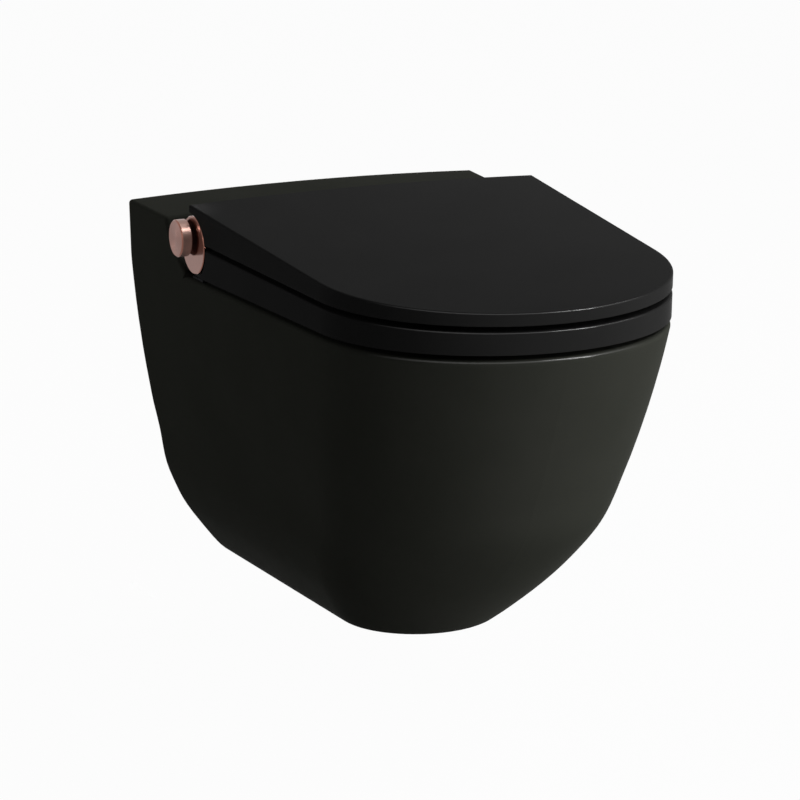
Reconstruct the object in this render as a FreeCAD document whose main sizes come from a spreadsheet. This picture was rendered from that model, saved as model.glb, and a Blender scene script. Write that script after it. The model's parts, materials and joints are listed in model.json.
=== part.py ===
import FreeCAD, Part
import math
import os
from types import SimpleNamespace

import Sketcher

# A wall-hung bidet toilet. The wall is the plane Y = 0, the bowl stands out towards -Y and +Z is up.
# The origin lies on the wall, midway between the two fixing studs. Lengths are millimetres.

SIZES = {
    # plan of the whole body
    "total_depth": 600,
    "rim_half_width": 197,
    "side_taper": 0.048,
    "nose_ratio": 0.945,
    # ceramic flank, measured down from the rim
    "rim_height": 75,
    "crease_drop": 200,
    "crease_inset": 29.5,
    "crease_setback": 88,
    "crease_softness": 30,
    "bottom_drop": 335,
    "bottom_inset": 102,
    "bottom_setback": 243,
    "flank_bulge_width": 4,
    "flank_bulge_depth": 6,
    "chamfer_bulge_width": 15,
    "chamfer_bulge_depth": 9.5,
    "ceramic_wall": 13,
    "ceramic_round": 4,
    # raised deck at the wall
    "deck_rise": 56,
    "deck_fall": 2.5,
    "deck_crown": 4.6,
    "deck_depth": 92,
    "deck_foot_depth": 138,
    "deck_flare": 1.4,
    "deck_thickness": 14,
    "deck_lip": 12,
    "slope_overrun": 10,
    "bay_margin": 37,
    "bay_back_wall": 12,
    # bowl
    "bowl_back": 221,
    "rim_front_width": 43,
    "rim_side_width": 40.3,
    "bowl_wall": 11,
    "bowl_round": 6,
    "bowl_depth": 238,
    "sump_setback": 39,
    "sump_half_width": 46,
    "sump_half_length": 58,
    # drain and flush water
    "outlet_drop": 100,
    "outlet_radius": 51,
    "outlet_length": 48,
    "trap_radius": 35,
    "trap_wall": 10,
    "trap_start_drop": 141.5,
    "trap_dip_drop": 187,
    "trap_dip_setback": 77,
    "trap_crown_drop": 67,
    "trap_crown_setback": 163,
    "trap_fall_reach": 108,
    "outlet_bend": 11,
    "inlet_rise": 35,
    "inlet_radius": 27.5,
    "inlet_length": 55,
    "inlet_cover": 5,
    "duct_radius": 21,
    "duct_fall": 37,
    "duct_overrun": 42,
    # wall fixing
    "stud_spacing": 180,
    "stud_hole_radius": 6.25,
    "sleeve_radius": 11,
    "sleeve_flange": 15,
    "sleeve_flange_thickness": 4,
    "boss_depth": 46,
    "boss_half_width": 25,
    "boss_drop": 30,
    "clamp_half_width": 14,
    "clamp_depth": 18,
    "clamp_screw_radius": 4,
    "clamp_screw_length": 16,
    "clamp_screw_gap": 0.5,
    # seat and lid
    "gap": 5.2,
    "seat_rise_rear": 37,
    "seat_rise_front": 26.2,
    "seat_shell": 7,
    "seat_hole_back": 230,
    "seat_front_width": 78,
    "seat_side_width": 73,
    "seat_back": 194,
    "lid_rise_rear": 80.8,
    "lid_rise_front": 43.7,
    "lid_crown": 4.2,
    "lid_back": 154,
    "lid_shell": 4,
    "lid_lip": 17,
    "lid_flare": 0.033,
    "lining_recess": 1,
    "lining_thickness": 3,
    "lining_back": 200,
    "edge_round": 2,
    "buffer_radius": 7,
    "buffer_edge": 1,
    "buffer_post_wall": 2,
    "buffer_clearance": 0.3,
    "buffer_front_half_width": 42,
    "buffer_front_margin": 32,
    "buffer_side_margin": 44.4,
    "buffer_rear_reach": 262,
    # hinge
    "hinge_reach": 154,
    "hinge_rise": 36,
    "drum_radius": 29.3,
    "drum_inset": 10.2,
    "drum_length": 44.8,
    "drum_clearance": 4.2,
    "drum_end_clearance": 3,
    "shaft_radius": 7,
    "shaft_edge": 1,
    "shaft_overhang": 3,
    "shaft_end_play": 2,
    "running_clearance": 0.05,
    "lug_radius": 12,
    "lug_width": 18,
    "seat_lug_gap": 4,
    "seat_lug_overlap": 4,
    "lid_lug_gap": 2,
    "lid_lug_reach": 36,
    "lid_lug_drop": 6,
    "damper_radius": 12,
    "damper_length": 24,
    "damper_inset": 0.5,
    "disc_thickness": 2,
    "disc_edge": 0.7,
    "foot_inset": 4,
    "foot_end_inset": 4.8,
    "foot_front": 12,
    "foot_back": 12,
    "ear_reach": 17,
    "ear_height": 2.5,
    # knob
    "knob_radius": 18.8,
    "knob_length": 11.5,
    "knob_edge": 1.2,
    "knob_face_thickness": 4,
    "knob_travel": 2,
    "knob_gap": 2.6,
    "knob_back_shift": 11,
    "knob_up_shift": 6,
    "stem_radius": 4,
    "stem_hole_clearance": 1,
    "stem_end_play": 2,
    "encoder_radius": 11,
    "encoder_length": 9,
    "collar_radius": 8,
    "collar_thickness": 2.4,
    "collar_play": 0.3,
    # module
    "base_thickness": 2,
    "base_margin": 10,
    "base_front": 190,
    "base_back": 20,
    "wing_lap": 10,
    "wing_margin": 2,
    "cover_margin": 3,
    "cover_front": 188,
    "cover_back": 96,
    "cover_rise": 21,
    "cover_wall": 2.5,
    "cover_clearance": 2,
    "post_radius": 4,
    "post_inset": 9,
    # fasteners
    "cover_screw_radius": 1.5,
    "cover_screw_length": 10,
    "cover_screw_head": 3,
    "cover_screw_head_height": 1.6,
    "hinge_screw_radius": 2,
    "hinge_screw_head": 4,
    "hinge_screw_head_height": 2.5,
    "bolt_margin": 47.5,
    "bolt_reach": 172,
    "bolt_radius": 4,
    "bolt_hole_clearance": 2,
    "bolt_overhang": 8,
    "bolt_head": 7,
    "bolt_head_height": 4,
    "nut_radius": 8,
    "nut_height": 6,
    # wand
    "wand_slope": 10.7,
    "tip_setback": 3,
    "wand_drop": 22,
    "wand_radius": 8,
    "wand_length": 176,
    "wand_end_wall": 10,
    "tip_length": 12,
    "tip_taper": 3,
    "jet_radius": 0.6,
    "jet_pitch": 2.2,
    "feed_radius": 3.5,
    "feed_bore_radius": 2,
    "feed_clearance": 0.6,
    "feed_start": 68,
    "feed_end": 192,
    "guide_start": 16,
    "guide_end": 62,
    "port_clearance": 2,
    "port_reach": 40,
    "tunnel_half_width": 15,
    "tunnel_floor": 14,
    "tunnel_wall": 8,
    "tunnel_front": 5,
    "tunnel_length": 150,
    "slot_setback": 8,
    "slot_depth": 15,
    "slot_back": 75,
    "base_slot_back": 45,
    # rack, pinion and motor
    "tooth_module": 1,
    "pinion_teeth": 12,
    "pinion_station": 68,
    "backlash": 0.4,
    "rack_width": 5,
    "rack_back": 1.5,
    "rack_room": 0.5,
    "motor_near": 6,
    "gearbox_end": 15,
    "motor_far": 32,
    "motor_half_width": 6,
    "motor_radius": 5,
    "motor_shaft_radius": 1.5,
    "motor_shaft_seat": 5,
    # water
    "port_hole_radius": 16,
    "port_margin": 90,
    "port_rise": 18,
    "fitting_bore": 5,
    "fitting_flange_radius": 12,
    "fitting_flange": 5,
    "thread_radius": 10.4,
    "thread_length": 14,
    "hose_radius": 4,
    "water_line_reach": 30,
    "filter_reach": 12,
    "filter_width": 26,
    "filter_front": 38,
    "filter_height": 26,
    "valve_margin": 22,
    "valve_width": 26,
    "valve_front": 40,
    "valve_height": 24,
    "coil_radius": 8,
    "coil_height": 9,
    "pump_margin": 34,
    "pump_front": 88,
    "pump_back": 46,
    "pump_radius": 14,
    "pump_edge": 3,
    "heater_reach": 70,
    "heater_left": 26,
    "heater_margin": 60,
    "heater_radius": 13,
    "heater_cap_radius": 9,
    "heater_cap_length": 5,
    "heater_hose_radius": 2.5,
    "heater_hose_bend": 5.5,
    "heater_hose_run": 7,
    "saddle_rise": 4,
    "saddle_width": 6,
    "saddle_half_length": 8,
    "saddle_inset": 14,
    "feed_block_half_width": 10,
    "feed_block_front": 42,
    "feed_block_back": 28,
    "feed_block_height": 20,
    # power and control
    "gland_bore": 4,
    "gland_flange_radius": 11,
    "gland_radius": 9,
    "supply_margin": 60,
    "supply_right": 44,
    "supply_front": 84,
    "supply_height": 28,
    "board_margin": 12,
    "board_front": 86,
    "board_width": 42,
    "board_length": 62,
    "board_rise": 8,
    "board_thickness": 1.6,
    "standoff_radius": 2.5,
    "standoff_inset": 4,
}

doc = FreeCAD.newDocument("BidetToilet")
sheet = doc.addObject("Spreadsheet::Sheet", "Sizes")
for row, (name, number) in enumerate(SIZES.items(), start=1):
    sheet.set(f"A{row}", name)
    sheet.set(f"B{row}", str(number))
    sheet.setAlias(f"B{row}", name)
doc.recompute()


class Dim:
    """A size from the sheet, or a sum of such sizes, with the expression that gives it."""

    def __init__(self, number, text):
        self.number = number
        self.text = text

    def __float__(self):
        return self.number

    def __add__(self, other):
        return Dim(self.number + float(other), f"({self.text} + {text_of(other)})")

    def __sub__(self, other):
        return Dim(self.number - float(other), f"({self.text} - {text_of(other)})")

    def __mul__(self, other):
        return Dim(self.number * float(other), f"({self.text} * {text_of(other)})")

    def __truediv__(self, other):
        return Dim(self.number / float(other), f"({self.text} / {text_of(other)})")

    def __rsub__(self, other):
        return Dim(float(other) - self.number, f"({text_of(other)} - {self.text})")

    def __neg__(self):
        return Dim(-self.number, f"(0 - {self.text})")

    __radd__ = __add__
    __rmul__ = __mul__


def text_of(value):
    return value.text if isinstance(value, Dim) else f"({float(value):.9g})"


s = SimpleNamespace(**{name: Dim(float(sheet.get(name)), f"Sizes.{name}") for name in SIZES})
NODES = {}

# Places that follow from the plan of the body
s.crease_half_width = s.rim_half_width - s.crease_inset
s.crease_depth = s.total_depth - s.crease_setback
s.bottom_half_width = s.rim_half_width - s.bottom_inset
s.bottom_depth = s.total_depth - s.bottom_setback
s.bay_half_width = s.rim_half_width - s.bay_margin
bowl_front = s.total_depth - s.rim_front_width
s.bowl_centre = (bowl_front + s.bowl_back) / 2
s.bowl_half_length = (bowl_front - s.bowl_back) / 2
s.bowl_half_width = s.rim_half_width - s.side_taper * s.bowl_centre - s.rim_side_width
s.sump_centre = s.bowl_centre - s.sump_setback
s.trap_dip_reach = s.sump_centre - s.trap_dip_setback
s.trap_crown_reach = s.sump_centre - s.trap_crown_setback
s.duct_reach = s.bowl_back + s.duct_overrun
s.wand_reach = s.bowl_back + s.tip_setback
seat_hole_front = s.total_depth - s.seat_front_width
s.seat_centre = (seat_hole_front + s.seat_hole_back) / 2
s.seat_hole_half_length = (seat_hole_front - s.seat_hole_back) / 2
s.seat_hole_half_width = s.rim_half_width - s.side_taper * s.seat_centre - s.seat_side_width
s.buffer_front_reach = s.total_depth - s.buffer_front_margin
s.buffer_rear_half_width = s.rim_half_width - s.side_taper * s.buffer_rear_reach - s.buffer_side_margin
# and places along the hinge, from its outer ends inwards
s.drum_outer_end = s.rim_half_width - s.drum_inset
s.drum_inner_end = s.drum_outer_end - s.drum_length
s.seat_lug_inner = s.drum_inner_end - s.seat_lug_gap - s.lug_width
s.lid_lug_inner = s.seat_lug_inner - s.lid_lug_gap - s.lug_width
s.foot_near = s.drum_inner_end + s.foot_inset
s.foot_far = s.drum_outer_end - s.foot_end_inset
s.ear_near = s.drum_inner_end - s.ear_reach
s.base_half_width = s.bay_half_width - s.base_margin
s.cover_half_width = s.ear_near - s.cover_margin
s.bolt_offset = s.ear_near - s.bolt_margin
# and places across the module's bay, from its sides inwards
s.port_offset = s.bay_half_width - s.port_margin
s.filter_left = s.port_offset - s.filter_reach
s.filter_right = s.filter_left + s.filter_width
s.valve_right = s.bay_half_width - s.valve_margin
s.valve_left = s.valve_right - s.valve_width
s.pump_offset = s.bay_half_width - s.pump_margin
s.heater_right = s.bay_half_width - s.heater_margin
s.supply_left = s.bay_half_width - s.supply_margin
s.board_left = s.bay_half_width - s.board_margin


def vec(x, y, z):
    return FreeCAD.Vector(float(x), float(y), float(z))


AXES = {"X": vec(1, 0, 0), "Y": vec(0, 1, 0), "Z": vec(0, 0, 1), "-X": vec(-1, 0, 0), "-Y": vec(0, -1, 0)}


# Helpers: bound primitives, booleans, turned bodies and free shapes

def bind_base(obj, point):
    for letter, value in zip("xyz", point):
        obj.setExpression(f"Placement.Base.{letter}", text_of(value))


def keep(name, obj):
    obj.Label = name
    NODES[name] = obj
    return obj


def box(low, high):
    """A box between two corners."""
    obj = doc.addObject("Part::Box", "Block")
    for prop, a, b in zip(("Length", "Width", "Height"), low, high):
        obj.setExpression(prop, text_of(b - a))
    bind_base(obj, low)
    return obj


def rod(radius, start, length, axis):
    """A round bar along one of the frame's axes."""
    obj = doc.addObject("Part::Cylinder", "Rod")
    obj.setExpression("Radius", text_of(radius))
    obj.setExpression("Height", text_of(length))
    obj.Placement = FreeCAD.Placement(vec(0, 0, 0), FreeCAD.Rotation(AXES["Z"], AXES[axis]))
    bind_base(obj, start)
    return obj


def fuse(*pieces):
    obj = doc.addObject("Part::MultiFuse", "Joined")
    obj.Shapes = list(pieces)
    return obj


def cut(base, *tools):
    obj = doc.addObject("Part::Cut", "CutBack")
    obj.Base = base
    obj.Tool = tools[0] if len(tools) == 1 else fuse(*tools)
    return obj


def group(name, *pieces):
    """Identical pieces that share one node as separate solids."""
    obj = doc.addObject("Part::Compound", "Group")
    obj.Links = list(pieces)
    return keep(name, obj)


def turned(profile, start, axis, rotation=None):
    """A body turned on a lathe: (radius, station) corners of its half section, stations along the axis."""
    body = doc.addObject("PartDesign::Body", "Turned")
    sketch = body.newObject("Sketcher::SketchObject", "HalfSection")
    plane = [f for f in body.Origin.OriginFeatures if f.Role == "XY_Plane"][0]
    sketch.AttachmentSupport = (plane, [""])
    sketch.MapMode = "FlatFace"
    corners = [vec(r, station, 0) for r, station in profile]
    lines = [Part.LineSegment(a, b) for a, b in zip(corners, corners[1:] + corners[:1])]
    sketch.addGeometry(lines, False)
    for i in range(len(lines)):
        sketch.addConstraint(Sketcher.Constraint("Coincident", i, 2, (i + 1) % len(lines), 1))
    for i, corner in enumerate(profile):
        for kind, value, axis_line in zip(("DistanceX", "DistanceY"), corner, (-2, -1)):
            if float(value) == 0:
                sketch.addConstraint(Sketcher.Constraint("PointOnObject", i, 1, axis_line))
                continue
            index = sketch.addConstraint(Sketcher.Constraint(kind, -1, 1, i, 1, float(value)))
            sketch.setExpression(f"Constraints[{index}]", text_of(value))
    spin = body.newObject("PartDesign::Revolution", "Spin")
    spin.Profile = sketch
    spin.ReferenceAxis = (sketch, ["V_Axis"])
    spin.Angle = 360
    body.Placement = FreeCAD.Placement(vec(0, 0, 0), rotation or FreeCAD.Rotation(AXES["Y"], AXES[axis]))
    bind_base(body, start)
    return body


def bar(radius, length, bore=0):
    """Half section of a plain bar or bush."""
    return [(bore, 0), (radius, 0), (radius, length), (bore, length)]


def shape_node(name, shape, placement=None):
    """A free form that the sheet's values shape through the functions below."""
    obj = doc.addObject("Part::Feature", "Form")
    obj.Shape = shape.removeSplitter()
    if placement:
        obj.Placement = placement
    return keep(name, obj)


def slab(low, high):
    """A plain box shape between two corners."""
    size = [float(b) - float(a) for a, b in zip(low, high)]
    return Part.makeBox(*size, vec(*low))


def pipe(points, radius):
    """A round passage: straight runs with a ball at each turn."""
    passage = None
    for a, b in zip(points, points[1:]):
        run = b.sub(a)
        bar_form = Part.makeCylinder(float(radius), run.Length, a, run)
        passage = passage.fuse(Part.makeSphere(float(radius), a)).fuse(bar_form) if passage else bar_form
    return passage


def hose(points, radius, bend):
    """A tube on straight runs joined by tangent arcs."""
    edges = []
    here = points[0]
    for before, corner, after in zip(points, points[1:], points[2:]):
        back = before.sub(corner).normalize()
        ahead = after.sub(corner).normalize()
        half = back.getAngle(ahead) / 2
        reach = bend / math.tan(half)
        middle = corner.add(back.add(ahead).normalize().multiply(bend / math.sin(half) - bend))
        first = corner.add(back.multiply(reach))
        last = corner.add(ahead.multiply(reach))
        edges.append(Part.LineSegment(here, first).toShape())
        edges.append(Part.Arc(first, middle, last).toShape())
        here = last
    edges.append(Part.LineSegment(here, points[-1]).toShape())
    path = Part.Wire(edges)
    ring = Part.Wire(Part.Circle(points[0], points[1].sub(points[0]), float(radius)).toShape())
    return path.makePipeShell([ring], True, False)


# Plan curves: straight tapered sides that run into an elliptic nose

def nose(half_width, depth):
    """Half width and centre of the nose ellipse that the tapered sides touch."""
    lean = float(s.side_taper * s.nose_ratio)
    wide = (half_width - float(s.side_taper) * depth) / (math.sqrt(1 + lean * lean) - lean)
    return wide, depth - float(s.nose_ratio) * wide, math.atan(lean)


def plan(half_width, depth, z, back=0.0):
    """Closed plan outline at one height; back is where its rear edge lies."""
    wide, centre, start = nose(half_width, depth)
    ellipse = Part.Ellipse(vec(0, -centre, z), wide, wide * float(s.nose_ratio))
    left = Part.ArcOfEllipse(ellipse, start - math.pi, -math.pi / 2)
    right = Part.ArcOfEllipse(ellipse, -math.pi / 2, -start)
    rear_half = half_width + float(s.side_taper) * back
    rear = Part.LineSegment(vec(rear_half, back, z), vec(-rear_half, back, z))
    side = Part.LineSegment(vec(-rear_half, back, z), left.StartPoint)
    other = Part.LineSegment(right.EndPoint, vec(rear_half, back, z))
    return Part.Wire([edge.toShape() for edge in (rear, side, left, right, other)])


def prism(inset, low, high):
    """Upright block of the plan outline, drawn in by inset, whose sides flare a little upwards."""
    wires = []
    for z in (low, high):
        flare = float(s.lid_flare) * (z - float(s.rim_height))
        wires.append(plan(float(s.rim_half_width) + flare - inset, float(s.total_depth) - inset, z))
    return Part.makeLoft(wires, True, True)


def oval(centre, half_width, half_length, z):
    """An ellipse that starts at its front tip, whichever way it is longer."""
    middle, side_tip = vec(0, -centre, z), vec(half_width, -centre, z)
    if half_length >= half_width:
        front_tip = vec(0, -centre - half_length, z)
        return Part.Wire(Part.Ellipse(front_tip, side_tip, middle).toShape())
    wide = Part.Ellipse(side_tip, vec(0, half_length - centre, z), middle)
    return Part.Wire(Part.ArcOfEllipse(wide, -math.pi / 2, 1.5 * math.pi).toShape())


def crowned(rear_y, rear_z, front_y, front_z, sagitta, half_width):
    """Everything under a surface that slopes from rear to front and is crowned from side to side."""
    radius = half_width * half_width / (2 * sagitta) + sagitta / 2
    run = vec(0, front_y - rear_y, front_z - rear_z).normalize()
    down = vec(0, run.z, -run.y)
    if down.z > 0:
        down = down.negative()
    spare = float(s.total_depth)
    start = vec(0, rear_y, rear_z).add(down.multiply(radius)).sub(vec(*run).multiply(spare))
    return Part.makeCylinder(radius, spare * 3, start, run)


RIM = float(s.rim_height)
DEPTH = float(s.total_depth)
WIDE = 2 * float(s.rim_half_width)
NEAR = 0.1
# how far a cut runs past the face that it opens
SPARE = 1

# Ceramic: a pan with a raised deck, and within it a bowl, a water trap and a flush duct. These five are
# cast apart and joined before firing.

FLANK_STEPS = 14
# share of the bowl's depth, and how far it has closed towards the sump there
BOWL_STATIONS = ((0, 0), (0.25, 0.1), (0.5, 0.34), (0.78, 0.72), (1, 1))
# shares of the run and of the rise that the deck's hollow front slope passes through
SLOPE_SHAPE = ((0.093, 0.78), (0.58, 0.31))


def flank_part(t, ends, bulge):
    """Half width and depth along one stretch of the flank: a straight run with a bulge in its middle."""
    w0, w1, d0, d1 = [float(e) for e in ends]
    swell = 4 * t * (1 - t)
    return w0 + (w1 - w0) * t + float(bulge[0]) * swell, d0 + (d1 - d0) * t + float(bulge[1]) * swell


def flank(drop):
    """Half width at the wall and depth of the ceramic at a distance below the rim."""
    crease, bottom, soft = float(s.crease_drop), float(s.bottom_drop), float(s.crease_softness)
    upper = flank_part(drop / crease, (s.rim_half_width, s.crease_half_width, s.total_depth, s.crease_depth),
                       (s.flank_bulge_width, s.flank_bulge_depth))
    lower = flank_part((drop - crease) / (bottom - crease),
                       (s.crease_half_width, s.bottom_half_width, s.crease_depth, s.bottom_depth),
                       (s.chamfer_bulge_width, s.chamfer_bulge_depth))
    share = min(max((drop - crease + soft) / (2 * soft), 0), 1)
    share = share * share * (3 - 2 * share)
    return tuple(u + (v - u) * share for u, v in zip(upper, lower))


def flank_loft(inset, top_drop, back):
    """The flank's form, drawn in by inset, from the bottom up to top_drop below the rim."""
    bottom = float(s.bottom_drop) - inset
    wires = []
    for i in range(FLANK_STEPS + 1):
        drop = bottom + (top_drop - bottom) * i / FLANK_STEPS
        width, depth = flank(drop)
        wires.append(plan(width - inset, depth - inset, RIM - drop, back))
    return Part.makeLoft(wires, True, False)


def bowl_loft(grow):
    """The bowl's hollow, or with grow its outer skin."""
    depth = float(s.bowl_depth) + grow
    stations = []
    for share, ease in BOWL_STATIONS:
        centre = float(s.bowl_centre) + float(s.sump_centre - s.bowl_centre) * ease
        wide = float(s.bowl_half_width) + float(s.sump_half_width - s.bowl_half_width) * ease
        long = float(s.bowl_half_length) + float(s.sump_half_length - s.bowl_half_length) * ease
        stations.append(oval(centre, wide + grow, long + grow, RIM - depth * share))
    body = Part.makeLoft(stations, True, False)
    mouth = Part.Face(stations[0]).extrude(vec(0, 0, 1))
    return body.fuse(mouth) if grow == 0 else body


def wand_frame():
    """Places wand pieces: +Y runs back along the wand from its tip, +Z is square to it."""
    turn = FreeCAD.Rotation(AXES["X"], float(s.wand_slope))
    return FreeCAD.Placement(vec(0, -s.wand_reach, s.rim_height - s.wand_drop), turn)


def in_wand_frame(shape):
    shape.Placement = wand_frame().multiply(shape.Placement)
    return shape


def tunnel(half_width, low, high, start, end):
    return in_wand_frame(slab((-half_width, start, low), (half_width, end, high)))


def trap_points():
    """Middle line of the water trap, from the sump to the wall."""
    return [
        vec(0, -s.sump_centre, -s.trap_start_drop),
        vec(0, -s.trap_dip_reach, -s.trap_dip_drop),
        vec(0, -s.trap_crown_reach, -s.trap_crown_drop),
        vec(0, -s.trap_fall_reach, -s.trap_crown_drop),
        vec(0, -s.outlet_length - s.outlet_bend, -s.outlet_drop),
        vec(0, SPARE, -s.outlet_drop),
    ]


def duct_points():
    """Middle line of the flush water's duct, from its socket to the bowl."""
    return [vec(0, SPARE - s.inlet_length, s.inlet_rise), vec(0, -s.duct_reach, s.inlet_rise - s.duct_fall)]


def from_wall(radius, x, z, length, ahead=0.0):
    """A round bar that runs from the wall plane, or from a little behind it, into the pan."""
    return Part.makeCylinder(float(radius), float(length) + ahead, vec(x, ahead, z), AXES["-Y"])


def behind_wall():
    return slab((-WIDE, 0, -DEPTH), (WIDE, DEPTH, DEPTH))


def softened(outer):
    """Rounds the rim, the deck and its slope, and then the underside."""
    foot_y, floor_z = -float(s.deck_foot_depth), RIM - float(s.bottom_drop)
    upper = []
    for edge in outer.Edges:
        span = edge.BoundBox
        on_wall = span.YMin > -1
        in_rim_plane = span.ZMin > RIM - NEAR and span.ZMax < RIM + NEAR
        at_foot = span.YMax > foot_y + NEAR or span.YMin > foot_y - NEAR
        if span.ZMin > RIM - NEAR and not on_wall and not (in_rim_plane and at_foot):
            upper.append(edge)
    outer = outer.makeFillet(float(s.ceramic_round), upper)
    lower = [edge for edge in outer.Edges if edge.BoundBox.ZMax < floor_z + NEAR and edge.BoundBox.YMin < -1]
    return outer.makeFillet(float(s.ceramic_round), lower)


def ceramic_outside():
    """The pan's outer form, still solid: flank, rim and raised deck."""
    crown = float(s.deck_crown)
    deck_y, foot_y = -float(s.deck_depth), -float(s.deck_foot_depth)
    deck_z = RIM + float(s.deck_rise)
    edge_z = deck_z - float(s.deck_fall)
    above = edge_z + float(s.slope_overrun)
    rim_wire = plan(float(s.rim_half_width), DEPTH, RIM, SPARE)
    flared = plan(float(s.rim_half_width + s.deck_flare), DEPTH, deck_z + 2 * crown, SPARE)
    outer = flank_loft(0, 0, SPARE).fuse(Part.makeLoft([rim_wire, flared], True, True))
    # side view of the raised block: deck, hollow front slope, rim
    points = [vec(-WIDE, deck_y, above)]
    for run_share, rise_share in SLOPE_SHAPE:
        points.append(vec(-WIDE, deck_y + run_share * (foot_y - deck_y), RIM + rise_share * (edge_z - RIM)))
    points.append(vec(-WIDE, foot_y, RIM))
    slope = Part.BSplineCurve()
    slope.interpolate(points)
    under = RIM - float(s.ceramic_wall)
    rear = [points[-1], vec(-WIDE, foot_y, under), vec(-WIDE, SPARE, under)]
    rear += [vec(-WIDE, SPARE, above), points[0]]
    edges = [slope.toShape()] + [Part.LineSegment(a, b).toShape() for a, b in zip(rear, rear[1:])]
    block = Part.Face(Part.Wire(edges)).extrude(vec(2 * WIDE, 0, 0))
    deck_top = crowned(0, deck_z + crown, deck_y, edge_z + crown, crown, float(s.rim_half_width))
    below_rim = slab((-WIDE, -2 * DEPTH, RIM - 2 * DEPTH), (WIDE, SPARE, RIM))
    return softened(outer.common(block.common(deck_top).fuse(below_rim)).cut(behind_wall()))


def pan_hollow():
    """The room inside the pan's walls, open at the wall."""
    wall = float(s.ceramic_wall)
    return flank_loft(wall, wall, float(s.side_taper) * DEPTH)


def pan_inside():
    """What the pan keeps within its hollow: wand tunnel and stud bosses."""
    half, block_floor = s.tunnel_half_width + s.tunnel_wall, -s.tunnel_floor - s.tunnel_wall
    pieces = [tunnel(half, block_floor, s.tunnel_half_width, -s.tunnel_front, s.tunnel_length)]
    for side in (-1, 1):
        middle = side * s.stud_spacing / 2
        low = (middle - s.boss_half_width, -s.boss_depth, -s.boss_drop)
        pieces.append(slab(low, (middle + s.boss_half_width, 0, RIM)))
    return pieces


def ceramic_openings():
    """Wand tunnel, module bay, stud holes, wall ports and bolt holes."""
    half, floor = s.tunnel_half_width, -s.tunnel_floor
    cuts = [tunnel(half, floor, half, s.guide_start, s.tunnel_length)]
    way_radius, way_length = float(s.wand_radius + s.port_clearance), float(s.port_reach + s.feed_end)
    port = Part.makeCylinder(way_radius, way_length, vec(0, -s.port_reach, 0), AXES["Y"])
    cuts.append(in_wand_frame(port))
    key_half = s.rack_width / 2 + 3 * s.rack_room
    key_top = s.wand_radius + s.rack_back + 4 * s.tooth_module
    cuts.append(tunnel(key_half, 0, key_top, -s.port_reach, s.guide_start + SPARE))
    slot_front = s.guide_start + s.slot_setback - s.wand_reach
    cuts.append(slab((-half, slot_front, s.rim_height - s.slot_depth), (half, -s.slot_back, RIM + SPARE)))
    bay, foot_y = s.bay_half_width, -s.deck_foot_depth - SPARE
    deck_z = s.rim_height + s.deck_rise
    cuts.append(slab((-bay, foot_y, RIM), (bay, -s.bay_back_wall, deck_z - s.deck_thickness)))
    cuts.append(slab((-bay, foot_y, RIM), (bay, -s.deck_depth - s.deck_lip, deck_z + s.slope_overrun)))
    for side in (-1, 1):
        cuts.append(from_wall(s.sleeve_radius, side * s.stud_spacing / 2, 0, s.boss_depth + SPARE, SPARE))
        port_z = s.rim_height + s.port_rise
        port_x, port_length = side * s.port_offset, s.bay_back_wall + SPARE
        cuts.append(from_wall(s.port_hole_radius, port_x, port_z, port_length, SPARE))
        bolt = vec(side * s.bolt_offset, -s.bolt_reach, s.rim_height - s.ceramic_wall - SPARE)
        hole_radius = float(s.bolt_radius + s.bolt_hole_clearance)
        cuts.append(Part.makeCylinder(hole_radius, float(s.ceramic_wall) + 2 * SPARE, bolt))
    return cuts


def bowl_skin():
    """The bowl's outer skin, up to the underside of the rim."""
    under_rim = slab((-WIDE, -2 * DEPTH, -DEPTH), (WIDE, 0, RIM - float(s.ceramic_wall)))
    return bowl_loft(float(s.bowl_wall)).common(under_rim)


def trap_skin():
    """The trap's outer skin, with the outlet spigot at the wall."""
    spigot = from_wall(s.outlet_radius, 0, -s.outlet_drop, s.outlet_length)
    return pipe(trap_points(), s.trap_radius + s.trap_wall).fuse(spigot).cut(behind_wall())


def socket_block():
    """A flat block on the flush socket, let into the underside of the rim."""
    half, top = s.inlet_radius + s.trap_wall, s.inlet_rise + s.inlet_radius + s.inlet_cover
    return slab((-half, -s.inlet_length - s.trap_wall, s.inlet_rise), (half, 0, top))


def flush_way():
    """The flush water's way from the wall into the bowl."""
    return pipe(duct_points(), s.duct_radius).fuse(from_wall(s.inlet_radius, 0, s.inlet_rise, s.inlet_length))


def without(shape, tools):
    for tool in tools:
        shape = shape.cut(tool)
    return shape


def ceramic_pan(outside, bowl, trap):
    hollow = pan_hollow()
    for piece in pan_inside():
        hollow = hollow.cut(piece.cut(behind_wall()).cut(bowl).cut(trap))
    pan = without(outside, [hollow, socket_block(), bowl_loft(0)])
    mouth_back = -float(s.bowl_back)
    mouth = []
    for edge in pan.Edges:
        span = edge.BoundBox
        in_rim_plane = span.ZMin > RIM - NEAR and span.ZMax < RIM + NEAR
        if in_rim_plane and abs(span.YMax - mouth_back) < SPARE:
            mouth.append(edge)
    return pan.makeFillet(float(s.bowl_round), mouth)


def ceramic_duct(bowl, trap):
    wall = s.trap_wall
    socket = from_wall(s.inlet_radius + wall, 0, s.inlet_rise, s.inlet_length + wall)
    duct = pipe(duct_points(), s.duct_radius + wall).fuse(socket).fuse(socket_block())
    duct = duct.common(pan_hollow().fuse(socket_block()))
    return without(duct, [behind_wall(), bowl, trap, flush_way(), *pan_inside()])


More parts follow.
